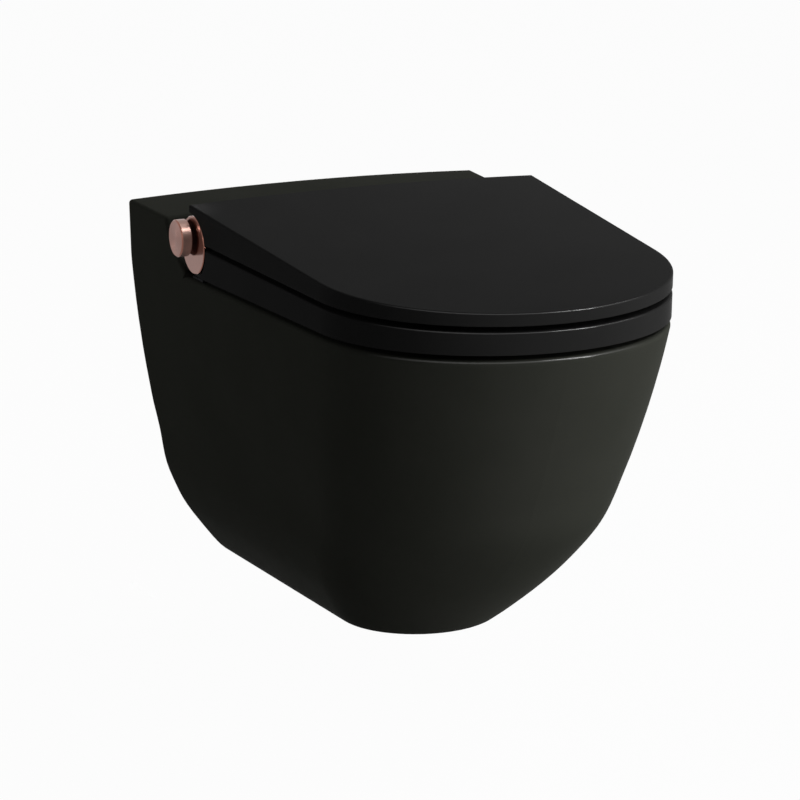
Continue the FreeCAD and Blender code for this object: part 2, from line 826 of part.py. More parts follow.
bowl_outside, trap_outside = bowl_skin(), trap_skin()
trap_bore = pipe(trap_points(), s.trap_radius)
openings = ceramic_openings()
whole = ceramic_outside()
above_rim = slab((-WIDE, -DEPTH, RIM), (WIDE, 0, RIM + DEPTH))
shape_node("ceramic_pan", without(ceramic_pan(whole.cut(above_rim), bowl_outside, trap_outside), openings))
shape_node("ceramic_deck", without(whole.common(above_rim), openings))
shape_node("ceramic_bowl", without(bowl_outside, [bowl_loft(0), trap_bore, flush_way(), *openings]))
shape_node("ceramic_trap", without(trap_outside, [trap_bore, bowl_outside]))
shape_node("ceramic_duct", ceramic_duct(bowl_outside, trap_outside))

# Datum lines shared by the seat, the lid and the hinge

rim = s.rim_height
base_top = rim + s.base_thickness
cover_top = rim + s.cover_rise
hinge_y = -s.hinge_reach
hinge_z = rim + s.hinge_rise
SIDES = {"left": -1, "right": 1}


def across(side, near, far):
    """Low and high X of something that lies from near to far on one side."""
    return (near, far) if side > 0 else (-far, -near)


# Seat and lid

def under_line(rear_z, front_z):
    """Everything under a plane that runs from the hinge to the nose."""
    rear_y = -float(s.lid_back)
    rise = (float(rear_z) - float(front_z)) / (rear_y + DEPTH)
    far_z = float(front_z) - rise * DEPTH
    near_z = float(rear_z) + rise * (DEPTH - rear_y)
    corners = [vec(-WIDE, -2 * DEPTH, far_z), vec(-WIDE, DEPTH, near_z)]
    corners += [vec(-WIDE, DEPTH, -DEPTH), vec(-WIDE, -2 * DEPTH, -DEPTH)]
    return Part.Face(Part.makePolygon(corners + corners[:1])).extrude(vec(2 * WIDE, 0, 0))


def outline_edges(face):
    """A face's edges, without the rear one."""
    return [edge for edge in face.Edges if edge.CenterOfMass.y < -1]


def lies_level(face):
    u_low, u_high, v_low, v_high = face.ParameterRange
    return abs(face.normalAt((u_low + u_high) / 2, (v_low + v_high) / 2).z) > 0.9


def rounded(shape, radius, top):
    """Rounds the outline of the top or the bottom face."""
    pick = max if top else min
    face = pick(filter(lies_level, shape.Faces), key=lambda f: f.CenterOfMass.z)
    return shape.makeFillet(float(radius), outline_edges(face))


def along_hinge(radius, low, high):
    """A round bar on the hinge axis."""
    return Part.makeCylinder(float(radius), float(high) - float(low), vec(low, hinge_y, hinge_z), AXES["X"])


def drum_space(side):
    """The room round a hinge drum that the seat and the lid leave free."""
    low, high = across(side, s.drum_inner_end - s.drum_end_clearance, WIDE)
    return along_hinge(s.drum_radius + s.drum_clearance, low, high)


def lug(side, inner, front, low_z, back, high_z):
    """A hinge eye with the block that carries it."""
    low, high = across(side, inner, inner + s.lug_width)
    return along_hinge(s.lug_radius, low, high).fuse(slab((low, front, low_z), (high, back, high_z)))


def shaft_hole(side, inner, running):
    low, high = across(side, inner, inner + s.lug_width)
    return along_hinge(s.shaft_radius + s.running_clearance if running else s.shaft_radius, low, high)


def seat_top(offset=0.0):
    return under_line(rim + s.seat_rise_rear + offset, rim + s.seat_rise_front + offset)


def seat_opening(grow):
    low = float(rim)
    wide, long = s.seat_hole_half_width + grow, s.seat_hole_half_length + grow
    return Part.Face(oval(float(s.seat_centre), float(wide), float(long), low)).extrude(vec(0, 0, DEPTH))


BUFFERS = []
for side in SIDES.values():
    BUFFERS.append((side * s.buffer_front_half_width, -s.buffer_front_reach))
    BUFFERS.append((side * s.buffer_rear_half_width, -s.buffer_rear_reach))


def seat_form():
    low, shell = float(rim + s.gap), s.seat_shell
    ring = rounded(prism(0, low, DEPTH).common(seat_top()), s.edge_round, True).cut(seat_opening(0))
    wide = s.drum_inner_end - s.drum_end_clearance
    ring = ring.cut(slab((-wide, -s.seat_back, RIM), (wide, 1, DEPTH)))
    ring = ring.cut(slab((-DEPTH, hinge_y, RIM), (DEPTH, 1, DEPTH)))
    # hollow underside: a skirt outside, a skirt round the opening, and posts for the buffers
    groove = prism(float(shell), RIM, DEPTH).common(seat_top(-shell)).cut(seat_opening(shell))
    groove = groove.cut(slab((-DEPTH, -s.seat_back - shell, 0), (DEPTH, 1, DEPTH)))
    for x, y in BUFFERS:
        post_radius = float(s.buffer_radius + s.buffer_post_wall)
        groove = groove.cut(Part.makeCylinder(post_radius, DEPTH, vec(x, y, 0)))
    ring = ring.cut(groove)
    front, under = -s.seat_back - s.seat_lug_overlap, cover_top + s.cover_clearance
    for side in SIDES.values():
        ring = ring.cut(drum_space(side))
        ring = ring.fuse(lug(side, s.seat_lug_inner, front, under, hinge_y, hinge_z))
        ring = ring.cut(shaft_hole(side, s.seat_lug_inner, side < 0))
    return ring


def lid_top(offset=0.0):
    rear_z, front_z = float(rim + s.lid_rise_rear + offset), float(rim + s.lid_rise_front + offset)
    return crowned(-float(s.lid_back), rear_z, -DEPTH, front_z, float(s.lid_crown), float(s.rim_half_width))


def lid_form():
    shell, back = s.lid_shell, -s.lid_back
    outer = prism(0, RIM, DEPTH).common(lid_top()).cut(seat_top(s.gap))
    outer = rounded(rounded(outer, s.edge_round / 2, False), s.edge_round, True)
    inner = prism(float(shell), 0, DEPTH).common(lid_top(-shell))
    inner = inner.common(slab((-DEPTH, -2 * DEPTH, 0), (DEPTH, back - shell, DEPTH)))
    lid = outer.cut(inner).cut(slab((-DEPTH, back, 0), (DEPTH, 1, DEPTH)))
    wide = s.drum_inner_end
    lip = rim + s.lid_rise_rear - s.lid_lip
    lid = lid.cut(slab((-wide, back - shell - NEAR, 0), (wide, 1, lip)))
    front, under = hinge_y - s.lid_lug_reach, hinge_z - s.lid_lug_drop
    for side in SIDES.values():
        lid = lid.cut(drum_space(side))
        carrier = lug(side, s.lid_lug_inner, front, under, back - shell / 2, DEPTH)
        lid = lid.fuse(carrier.common(lid_top(-shell / 2)))
        lid = lid.cut(shaft_hole(side, s.lid_lug_inner, side > 0))
    return lid


def lining_form():
    recess = s.gap + s.lining_recess
    sheet_form = prism(float(s.lid_shell), RIM, DEPTH)
    sheet_form = sheet_form.common(seat_top(recess + s.lining_thickness)).cut(seat_top(recess))
    return sheet_form.common(slab((-DEPTH, -2 * DEPTH, 0), (DEPTH, -s.lining_back, DEPTH)))


def seat_line(y):
    """Height of the seat's top face at a distance from the wall."""
    share = (-y - s.lid_back) / (s.total_depth - s.lid_back)
    return rim + s.seat_rise_rear + (s.seat_rise_front - s.seat_rise_rear) * share


shape_node("seat", seat_form())
shape_node("lid", lid_form())
shape_node("lid_lining", lining_form())


def buffer(x, y, low, high):
    radius, edge = s.buffer_radius, s.buffer_edge
    section = [(0, 0), (radius - edge, 0), (radius, edge), (radius, high - low), (0, high - low)]
    return turned(section, (x, y, low), "Z")


group("seat_buffers", *[buffer(x, y, rim + s.buffer_clearance, rim + s.gap) for x, y in BUFFERS])
lid_buffers = []
for x, y in BUFFERS:
    slant = seat_line(y) - seat_line(y - s.buffer_radius)
    lining = seat_line(y) + s.gap + s.lining_recess - slant
    lid_buffers.append(buffer(x, y, seat_line(y) + s.buffer_clearance + slant, lining))
group("lid_buffers", *lid_buffers)

# Hinge: a fixed drum at each end, a damper in each drum, and one shaft for the lid and one for the seat

damper_start = s.drum_inner_end + s.damper_inset
damper_end = damper_start + s.damper_length
pocket_depth = s.encoder_length + s.knob_travel + s.collar_thickness + s.collar_play * 2
knob_y = hinge_y + s.knob_back_shift
knob_z = hinge_z + s.knob_up_shift
disc_face = s.drum_outer_end + s.disc_thickness
foot_front, foot_back = hinge_y - s.foot_front, hinge_y + s.foot_back
hinge_screw_x = (s.ear_near + s.foot_near) / 2
running_bore = s.shaft_radius + s.running_clearance
shaft_start = s.lid_lug_inner - s.shaft_overhang
shaft_length = damper_end - s.shaft_end_play - shaft_start

for side_name, side in SIDES.items():
    low, high = across(side, s.drum_inner_end, s.drum_outer_end)
    drum = rod(s.drum_radius, (low, hinge_y, hinge_z), high - low, "X")
    low, high = across(side, s.foot_near, s.foot_far)
    foot = box((low, foot_front, base_top), (high, foot_back, hinge_z))
    low, high = across(side, s.ear_near, s.foot_far)
    ear = box((low, foot_front, base_top), (high, foot_back, base_top + s.ear_height))
    low, high = across(side, s.drum_inner_end, damper_end)
    bores = [rod(s.damper_radius, (low, hinge_y, hinge_z), high - low, "X")]
    bores.append(rod(s.hinge_screw_radius, (side * hinge_screw_x, hinge_y, base_top), s.ear_height, "Z"))
    if side < 0:
        bores.append(rod(s.encoder_radius, (-s.drum_outer_end, knob_y, knob_z), pocket_depth, "X"))
    keep(f"hinge_housing_{side_name}", cut(fuse(drum, foot, ear), *bores))

    piece = "lid" if side < 0 else "seat"
    start = (across(side, damper_start, damper_end)[0], hinge_y, hinge_z)
    keep(f"{piece}_damper", turned(bar(s.damper_radius, s.damper_length, running_bore), start, "X"))

    start = (across(side, shaft_start, shaft_start + shaft_length)[0], hinge_y, hinge_z)
    neck = s.shaft_radius - s.shaft_edge
    section = [(0, 0), (neck, 0), (s.shaft_radius, s.shaft_edge)]
    section += [(s.shaft_radius, shaft_length - s.shaft_edge), (neck, shaft_length), (0, shaft_length)]
    keep(f"{piece}_hinge_shaft", turned(section, start, "X"))

    section = [(0, 0), (s.drum_radius, 0), (s.drum_radius, s.disc_thickness - s.disc_edge)]
    section += [(s.drum_radius - s.disc_edge, s.disc_thickness), (0, s.disc_thickness)]
    plate = turned(section, (side * s.drum_outer_end, hinge_y, hinge_z), "X" if side > 0 else "-X")
    if side < 0:
        stem_hole = s.stem_radius + s.stem_hole_clearance
        plate = cut(plate, rod(stem_hole, (-disc_face, knob_y, knob_z), s.disc_thickness, "X"))
    keep(f"hinge_disc_{side_name}", plate)

# Knob: pressed and turned on a stem that runs in the encoder


def on_knob_axis(name, section, start):
    return keep(name, turned(section, (-start, knob_y, knob_z), "-X"))


knob_back = disc_face + s.knob_gap
bore_depth = s.knob_length - s.knob_face_thickness
encoder_floor = s.drum_outer_end - pocket_depth
stem_end = encoder_floor + s.knob_travel + s.stem_end_play
stem_bore = s.stem_radius + s.running_clearance
collar_start = encoder_floor + s.encoder_length + s.knob_travel + s.collar_play
section = [(s.stem_radius, 0), (s.knob_radius - s.knob_edge, 0), (s.knob_radius, s.knob_edge)]
section += [(s.knob_radius, s.knob_length - s.knob_edge), (s.knob_radius - s.knob_edge, s.knob_length)]
section += [(0, s.knob_length), (0, bore_depth), (s.stem_radius, bore_depth)]
on_knob_axis("knob", section, knob_back)
on_knob_axis("knob_stem", bar(s.stem_radius, knob_back + bore_depth - stem_end), stem_end)
on_knob_axis("encoder", bar(s.encoder_radius, s.encoder_length, stem_bore), encoder_floor)
on_knob_axis("press_collar", bar(s.collar_radius, s.collar_thickness, stem_bore), collar_start)

# Module base and cover

screw_x = s.cover_half_width - s.post_inset
screw_rows = (s.post_inset - s.cover_front, -s.cover_back - s.post_inset)
screw_spots = [(side * screw_x, y) for side in SIDES.values() for y in screw_rows]
bolt_spots = [(side * s.bolt_offset, -s.bolt_reach) for side in SIDES.values()]
roof = cover_top - s.cover_wall
water_z = rim + s.port_rise
heater_y = -s.heater_reach
screw_start = cover_top - s.cover_screw_length


def saddle(low, high, radius, axis_start, axis):
    """A block with a round seat for a drum that lies along X or Y."""
    top = water_z - radius + s.saddle_rise
    long = s.saddle_width + s.saddle_half_length
    return cut(box((*low, base_top), (*high, top)), rod(radius, axis_start, long, axis))


plate = box((-s.base_half_width, -s.base_front, rim), (s.base_half_width, -s.base_back, base_top))
base_parts = [plate]
for side in SIDES.values():
    low, high = across(side, s.base_half_width - s.wing_lap, s.foot_far + s.wing_margin)
    wing_front, wing_back = foot_front - s.wing_margin, foot_back + s.wing_margin / 2
    base_parts.append(box((low, wing_front, rim), (high, wing_back, base_top)))
base_parts += [rod(s.post_radius, (x, y, base_top), roof - base_top, "Z") for x, y in screw_spots]
for x in (s.standoff_inset - s.board_left, s.board_width - s.board_left - s.standoff_inset):
    for y in (s.standoff_inset - s.board_front, s.board_length - s.board_front - s.standoff_inset):
        base_parts.append(rod(s.standoff_radius, (x, y, base_top), s.board_rise, "Z"))
half_seat = s.saddle_half_length
for x in (s.heater_left + s.saddle_inset, s.heater_right - s.saddle_inset - s.saddle_width):
    low, high = (x, heater_y - half_seat), (x + s.saddle_width, heater_y + half_seat)
    base_parts.append(saddle(low, high, s.heater_radius, (x - SPARE, heater_y, water_z), "X"))
saddle_y = s.saddle_half_length - s.pump_front
low, high = (s.pump_offset - half_seat, saddle_y), (s.pump_offset + half_seat, saddle_y + s.saddle_width)
base_parts.append(saddle(low, high, s.pump_radius, (s.pump_offset, saddle_y - SPARE, water_z), "Y"))
slot_half = s.wand_radius + s.port_clearance
base_holes = [box((-slot_half, -s.base_front, rim), (slot_half, -s.base_slot_back, base_top))]
for x, y in screw_spots:
    base_holes.append(rod(s.cover_screw_radius, (x, y, screw_start), s.cover_screw_length, "Z"))
base_holes += [rod(s.bolt_radius, (x, y, rim), s.base_thickness, "Z") for x, y in bolt_spots]
for side in SIDES.values():
    base_holes.append(rod(s.hinge_screw_radius, (side * hinge_screw_x, hinge_y, rim), s.base_thickness, "Z"))
keep("module_base", cut(fuse(*base_parts), *base_holes))

wall = s.cover_wall
outside = box((-s.cover_half_width, -s.cover_front, base_top), (s.cover_half_width, -s.cover_back, cover_top))
inside = box((wall - s.cover_half_width, wall - s.cover_front, base_top),
             (s.cover_half_width - wall, -s.cover_back, roof))
screw_holes = [rod(s.cover_screw_radius, (x, y, roof), wall, "Z") for x, y in screw_spots]
keep("module_cover", cut(outside, inside, *screw_holes))


def screw(radius, length, head_radius, head_height):
    total = length + head_height
    return [(0, 0), (radius, 0), (radius, length), (head_radius, length), (head_radius, total), (0, total)]


def upright(section, spots, z):
    return [turned(section, (x, y, z), "Z") for x, y in spots]


cover_screw = screw(s.cover_screw_radius, s.cover_screw_length, s.cover_screw_head, s.cover_screw_head_height)
group("module_screws", *upright(cover_screw, screw_spots, screw_start))
hinge_screw = screw(s.hinge_screw_radius, s.base_thickness + s.ear_height, s.hinge_screw_head,
                    s.hinge_screw_head_height)
hinge_spots = [(side * hinge_screw_x, hinge_y) for side in SIDES.values()]
group("hinge_screws", *upright(hinge_screw, hinge_spots, rim))
bolt_length = s.ceramic_wall + s.base_thickness + s.bolt_overhang
module_bolt = screw(s.bolt_radius, bolt_length, s.bolt_head, s.bolt_head_height)
group("module_bolts", *upright(module_bolt, bolt_spots, base_top - bolt_length))
module_nut = bar(s.nut_radius, s.nut_height, s.bolt_radius)
group("module_nuts", *upright(module_nut, bolt_spots, rim - s.ceramic_wall - s.nut_height))

# Shower wand and its drive

WAND_TURN = FreeCAD.Rotation(AXES["X"], float(s.wand_slope))
# stations of the jets along the tip, in jet pitches from its tapered end, and their places across it
JET_ROWS = (1, 2, 3)
JET_COLUMNS = (-1, 0, 1)
PRESSURE_ANGLE = 20
# how much wider than at the pitch line a pinion tooth is at its root, and narrower at its crest
TOOTH_ROOT = 1.9
TOOTH_CREST = 0.4


def wand_point(station, height=0.0):
    return wand_frame().multVec(vec(0, station, height))


def on_wand(section, station):
    return turned(section, tuple(wand_point(station)), "Y", WAND_TURN)


feed_bore = s.feed_radius + s.feed_clearance
tube_length = s.wand_length - s.tip_length
section = [(0, 0), (s.wand_radius, 0), (s.wand_radius, tube_length), (feed_bore, tube_length)]
section += [(feed_bore, s.wand_end_wall), (0, s.wand_end_wall)]
keep("wand", on_wand(section, s.tip_length))

wand_radius, taper = float(s.wand_radius), float(s.tip_taper)
tip = Part.makeCone(wand_radius - taper, wand_radius, taper, vec(0, 0, 0), AXES["Y"])
tip = tip.fuse(Part.makeCylinder(wand_radius, float(s.tip_length) - taper, vec(0, taper, 0), AXES["Y"]))
for row in JET_ROWS:
    for column in JET_COLUMNS:
        jet = vec(column * s.jet_pitch, taper + row * float(s.jet_pitch), wand_radius - taper)
        tip = tip.cut(Part.makeCylinder(float(s.jet_radius), wand_radius, jet))
shape_node("nozzle_tip", tip, wand_frame())

addendum = float(s.tooth_module)
dedendum = 1.25 * addendum
pitch = math.pi * addendum
pitch_radius = addendum * float(s.pinion_teeth) / 2
rack_root = float(s.wand_radius + s.rack_back)
rack_pitch = rack_root + dedendum
rack_width = float(s.rack_width)
tooth_half = (pitch / 2 - float(s.backlash)) / 2


def rack_form():
    """Straight teeth on the wand's back, with a tooth space under the pinion."""
    # the first tooth lies a whole number of pitches and a half in front of the pinion
    start, end = float(s.pinion_station) - 3.5 * pitch, float(s.wand_length)
    slant = math.tan(math.radians(PRESSURE_ANGLE))
    root_half, crest_half = tooth_half + dedendum * slant, tooth_half - addendum * slant
    crest = rack_pitch + addendum
    foot = wand_radius - float(s.rack_back)
    outline = [vec(0, start, foot), vec(0, start, rack_root)]
    middle = start + pitch
    while middle + pitch / 2 < end:
        outline += [vec(0, middle - root_half, rack_root), vec(0, middle - crest_half, crest)]
        outline += [vec(0, middle + crest_half, crest), vec(0, middle + root_half, rack_root)]
        middle += pitch
    outline += [vec(0, end, rack_root), vec(0, end, foot)]
    teeth = Part.Face(Part.makePolygon(outline + outline[:1])).extrude(vec(rack_width, 0, 0))
    teeth.translate(vec(-rack_width / 2, 0, 0))
    return teeth.cut(Part.makeCylinder(wand_radius, 2 * end, vec(0, 0, 0), AXES["Y"]))


def pinion_form():
    """A small gear about the X axis, with one tooth straight down at rest."""
    count = int(float(s.pinion_teeth))
    half = tooth_half / pitch_radius
    steps = [(TOOTH_ROOT, pitch_radius - dedendum), (1, pitch_radius), (TOOTH_CREST, pitch_radius + addendum)]
    flanks = [(-share * half, radius) for share, radius in steps]
    flanks += [(share * half, radius) for share, radius in reversed(steps)]
    outline = []
    for i in range(count):
        middle = -math.pi / 2 + i * 2 * math.pi / count
        for reach, radius in flanks:
            outline.append(vec(0, radius * math.cos(middle + reach), radius * math.sin(middle + reach)))
    gear = Part.Face(Part.makePolygon(outline + outline[:1])).extrude(vec(rack_width, 0, 0))
    gear.translate(vec(-rack_width / 2, 0, 0))
    shaft = Part.makeCylinder(float(s.motor_shaft_radius), 2 * rack_width, vec(-rack_width, 0, 0), AXES["X"])
    return gear.cut(shaft)


shape_node("wand_rack", rack_form(), wand_frame())
pinion_point = wand_point(s.pinion_station, rack_pitch + pitch_radius)
shape_node("drive_pinion", pinion_form(), FreeCAD.Placement(pinion_point, WAND_TURN))
pinion_y, pinion_z = pinion_point.y, pinion_point.z
shaft_reach = s.rack_width / 2 + s.motor_near + s.motor_shaft_seat
motor_shaft = turned(bar(s.motor_shaft_radius, shaft_reach), (-s.rack_width / 2, pinion_y, pinion_z), "X")
keep("motor_shaft", motor_shaft)
gearbox = box((s.motor_near, pinion_y - s.motor_half_width, base_top),
              (s.gearbox_end, pinion_y + s.motor_half_width, pinion_z + s.motor_radius))
can = rod(s.motor_radius, (s.gearbox_end, pinion_y, pinion_z), s.motor_far - s.gearbox_end, "X")
shaft_seat = rod(s.motor_shaft_radius + s.running_clearance, (s.motor_near, pinion_y, pinion_z),
                 s.motor_shaft_seat + s.shaft_edge, "X")
keep("wand_motor", cut(fuse(gearbox, can), shaft_seat))

half, top = s.tunnel_half_width, s.wand_radius
guide = slab((-half, s.guide_start, -s.tunnel_floor), (half, s.guide_end, top))
wand_bore = Part.makeCylinder(float(top + s.running_clearance), float(s.guide_end), vec(0, 0, 0), AXES["Y"])
side_room = s.rack_width / 2 + s.rack_room
rack_slot = slab((-side_room, 0, 0), (side_room, s.guide_end, half))
shape_node("wand_guide", guide.cut(wand_bore).cut(rack_slot), wand_frame())

feed_length = s.feed_end - s.feed_start
keep("feed_tube", on_wand(bar(s.feed_radius, feed_length, s.feed_bore_radius), s.feed_start))
feed_block = slab((-s.feed_block_half_width, -s.feed_block_front, base_top),
                  (s.feed_block_half_width, -s.feed_block_back, base_top + s.feed_block_height))
tube_seat = Part.makeCylinder(float(s.feed_radius), float(feed_length), vec(0, s.feed_start, 0), AXES["Y"])
shape_node("feed_block", feed_block.cut(in_wand_frame(tube_seat)))

# Water line: inlet, filter, valve, pump, heater, feed block

water_y = -s.water_line_reach
keep("inlet_filter", box((s.filter_left, -s.filter_front, base_top),
                         (s.filter_right, -s.base_back, base_top + s.filter_height)))
valve_top = base_top + s.valve_height
valve = box((s.valve_left, -s.valve_front, base_top), (s.valve_right, -s.base_back, valve_top))
coil = rod(s.coil_radius, ((s.valve_left + s.valve_right) / 2, water_y, valve_top), s.coil_height, "Z")
keep("solenoid_valve", fuse(valve, coil))
keep("valve_hose", rod(s.hose_radius, (s.filter_right, water_y, water_z), s.valve_left - s.filter_right, "X"))
pump_length, neck_end = s.pump_front - s.pump_back, s.pump_front - s.valve_front
section = [(0, 0), (s.pump_radius - s.pump_edge, 0), (s.pump_radius, s.pump_edge)]
section += [(s.pump_radius, pump_length), (s.hose_radius, pump_length)]
section += [(s.hose_radius, neck_end), (0, neck_end)]
keep("water_pump", turned(section, (s.pump_offset, -s.pump_front, water_z), "Y"))
pump_hose = Part.makeCylinder(float(s.hose_radius), float(s.pump_offset - s.heater_right),
                              vec(s.heater_right, heater_y, water_z), AXES["X"])
pump_body = Part.makeCylinder(float(s.pump_radius), float(pump_length),
                              vec(s.pump_offset, -s.pump_front, water_z), AXES["Y"])
shape_node("pump_hose", pump_hose.cut(pump_body))
heater_length, cap = s.heater_right - s.heater_left, s.heater_cap_length
section = [(0, 0), (s.heater_cap_radius, 0), (s.heater_cap_radius, cap), (s.heater_radius, cap)]
section += [(s.heater_radius, heater_length - cap), (s.heater_cap_radius, heater_length - cap)]
section += [(s.heater_cap_radius, heater_length), (0, heater_length)]
keep("water_heater", turned(section, (s.heater_left, heater_y, water_z), "X"))
turn_x, feed_y = s.heater_left - s.heater_hose_run, -(s.feed_block_front + s.feed_block_back) / 2
route = [vec(s.heater_left, heater_y, water_z), vec(turn_x, heater_y, water_z)]
route += [vec(turn_x, feed_y, water_z), vec(s.feed_block_half_width, feed_y, water_z)]
shape_node("heater_hose", hose(route, s.heater_hose_radius, float(s.heater_hose_bend)))


def wall_fitting(bore, flange_radius, radius):
    """Half section of a threaded fitting with a flange at its inner end."""
    total = s.fitting_flange + s.thread_length
    inner = [(bore, 0), (flange_radius, 0), (flange_radius, s.fitting_flange)]
    return inner + [(radius, s.fitting_flange), (radius, total), (bore, total)]


section = wall_fitting(s.fitting_bore, s.fitting_flange_radius, s.thread_radius)
keep("water_inlet", turned(section, (s.port_offset, -s.base_back, water_z), "Y"))

# Power and control

keep("power_supply", box((-s.supply_left, -s.supply_front, base_top),
                         (-s.supply_right, -s.base_back, base_top + s.supply_height)))
section = wall_fitting(s.gland_bore, s.gland_flange_radius, s.gland_radius)
keep("power_inlet", turned(section, (-s.port_offset, -s.base_back, water_z), "Y"))
# what stands on the board: place from its front left corner, width, length and height
BOARD_PARTS = ((8, 16, 12, 12, 2), (26, 12, 8, 10, 6), (10, 38, 20, 8, 8), (32, 42, 6, 16, 4))
board_x, board_y, board_z = -s.board_left, -s.board_front, base_top + s.board_rise
board_top = board_z + s.board_thickness
board = [box((board_x, board_y, board_z), (board_x + s.board_width, board_y + s.board_length, board_top))]
for x, y, wide, long, tall in BOARD_PARTS:
    low = (board_x + x, board_y + y, board_top)
    board.append(box(low, (low[0] + wide, low[1] + long, board_top + tall)))
keep("control_board", fuse(*board))

# Wall fixing

stud_x = [side * s.stud_spacing / 2 for side in SIDES.values()]
flange = s.sleeve_flange_thickness
sleeve_length = s.boss_depth + flange
section = [(s.stud_hole_radius, 0), (s.sleeve_flange, 0), (s.sleeve_flange, flange)]
section += [(s.sleeve_radius, flange), (s.sleeve_radius, sleeve_length), (s.stud_hole_radius, sleeve_length)]
group("wall_sleeves", *[turned(section, (x, -sleeve_length, 0), "Y") for x in stud_x])
half, clamp_y = s.clamp_half_width, -sleeve_length - s.clamp_depth
screw_foot = s.stud_hole_radius + s.clamp_screw_gap
clamps = []
clamp_screws = []
for x in stud_x:
    block = box((x - half, clamp_y, -half), (x + half, -sleeve_length, half))
    bore = rod(s.stud_hole_radius, (x, clamp_y, 0), s.clamp_depth, "Y")
    foot = (x, clamp_y + s.clamp_depth / 2, screw_foot)
    thread = rod(s.clamp_screw_radius, foot, half - screw_foot, "Z")
    clamps.append(cut(block, bore, thread))
    clamp_screws.append(rod(s.clamp_screw_radius, foot, s.clamp_screw_length, "Z"))
group("wall_clamps", *clamps)
group("clamp_screws", *clamp_screws)

# Test every object, then write the nodes

doc.recompute()
for obj in doc.Objects:
    if "Invalid" in obj.State or "Error" in obj.State:
        raise RuntimeError(f"{obj.Name} failed: {obj.State}")
for name, obj in NODES.items():
    if obj.Shape.isNull() or not obj.Shape.isValid():
        raise RuntimeError(f"{name} has no valid shape")
os.makedirs("parts", exist_ok=True)
for name, obj in NODES.items():
    obj.Shape.exportStep(f"parts/{name}.step")
    print(name, len(obj.Shape.Solids), "solid", round(obj.Shape.Volume / 1000, 2), "cm3")
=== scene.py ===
# %% [markdown]
# # A wall-hung bidet toilet
# The imported model comes in as a fixed frame: every solid already has its real size and place. This lesson
# adds light, a camera and finishes, and builds two sets of screws again with finer heads.

# %% Load the frame
import json
import math

import bpy
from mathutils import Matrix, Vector


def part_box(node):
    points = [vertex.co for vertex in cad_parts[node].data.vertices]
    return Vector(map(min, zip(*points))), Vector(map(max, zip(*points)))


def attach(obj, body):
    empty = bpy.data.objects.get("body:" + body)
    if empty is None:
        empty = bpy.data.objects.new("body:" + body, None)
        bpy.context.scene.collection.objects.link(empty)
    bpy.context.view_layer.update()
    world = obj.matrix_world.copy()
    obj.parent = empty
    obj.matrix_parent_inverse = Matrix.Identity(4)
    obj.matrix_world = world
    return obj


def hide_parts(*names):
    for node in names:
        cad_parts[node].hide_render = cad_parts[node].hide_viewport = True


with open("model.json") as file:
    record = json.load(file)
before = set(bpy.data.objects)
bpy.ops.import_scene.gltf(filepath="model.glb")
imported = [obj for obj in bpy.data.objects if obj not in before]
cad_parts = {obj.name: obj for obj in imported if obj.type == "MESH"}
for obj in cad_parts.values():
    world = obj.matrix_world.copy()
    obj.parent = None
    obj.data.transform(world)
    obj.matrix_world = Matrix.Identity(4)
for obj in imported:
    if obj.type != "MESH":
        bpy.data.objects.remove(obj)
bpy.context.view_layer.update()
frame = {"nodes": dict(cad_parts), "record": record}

nodes = frame["nodes"]
scene = bpy.context.scene
scene.view_settings.view_transform = "Standard"

# %% [markdown]
# ## Camera
# The photograph was taken from the front left, a little above the lid, with a long lens. A long lens far
# away keeps the sides nearly parallel. A lens shift could frame the object too, but every other view
# would keep it, so the camera is turned to the middle of the picture instead.

# %% Camera
AZIMUTH = math.radians(-25.67)
ELEVATION = math.radians(14.49)
DISTANCE = 3.2456
LENS = 147.1
SENSOR = 36.0
AIM = Vector((0.0, -0.3, -0.0361))
# where the aim point lies in the picture, as a share of the frame to the right of and below its middle
AIM_RIGHT = 0.0332
AIM_DOWN = 0.0012

back = Vector((math.sin(AZIMUTH) * math.cos(ELEVATION), -math.cos(AZIMUTH) * math.cos(ELEVATION),
               math.sin(ELEVATION)))
eye = AIM + back * DISTANCE
right = Vector((math.cos(AZIMUTH), math.sin(AZIMUTH), 0.0))
up = back.cross(right)
frame_width = DISTANCE * SENSOR / LENS
middle = AIM - right * AIM_RIGHT * frame_width + up * AIM_DOWN * frame_width
camera_data = bpy.data.cameras.new("camera")
camera_data.lens = LENS
camera_data.sensor_width = SENSOR
camera = bpy.data.objects.new("camera", camera_data)
camera.location = eye
camera.rotation_euler = (eye - middle).to_track_quat("Z", "Y").to_euler()
scene.collection.objects.link(camera)
scene.camera = camera
print("camera at", [round(v, 3) for v in eye])

# %% [markdown]
# ## Building node trees
# All trees below are put together from a few steps: feed a socket, calculate with two values, blend two
# values, and read where a point lies or which way it faces. Written out in every material they would hide
# what is special there, so each step is a short function.


# %% Node helpers
def feed(tree, value, socket):
    """Links another socket into this one, or sets a constant on it."""
    if isinstance(value, bpy.types.NodeSocket):
        tree.links.new(value, socket)
    else:
        socket.default_value = value


def calculate(tree, operation, first, second=0.0):
    node = tree.nodes.new("ShaderNodeMath")
    node.operation = operation
    feed(tree, first, node.inputs[0])
    feed(tree, second, node.inputs[1])
    return node.outputs[0]


def blend(tree, factor, one, other, kind="RGBA"):
    mix = tree.nodes.new("ShaderNodeMix")
    mix.data_type = kind
    feed(tree, factor, mix.inputs["Factor"])
    feed(tree, one, mix.inputs["A"])
    feed(tree, other, mix.inputs["B"])
    return mix.outputs["Result"]


def axes_of(tree, kind):
    """The X, Y and Z of a point's Object place or of its Normal."""
    place = tree.nodes.new("ShaderNodeTexCoord")
    parts = tree.nodes.new("ShaderNodeSeparateXYZ")
    tree.links.new(place.outputs[kind], parts.inputs["Vector"])
    return parts.outputs


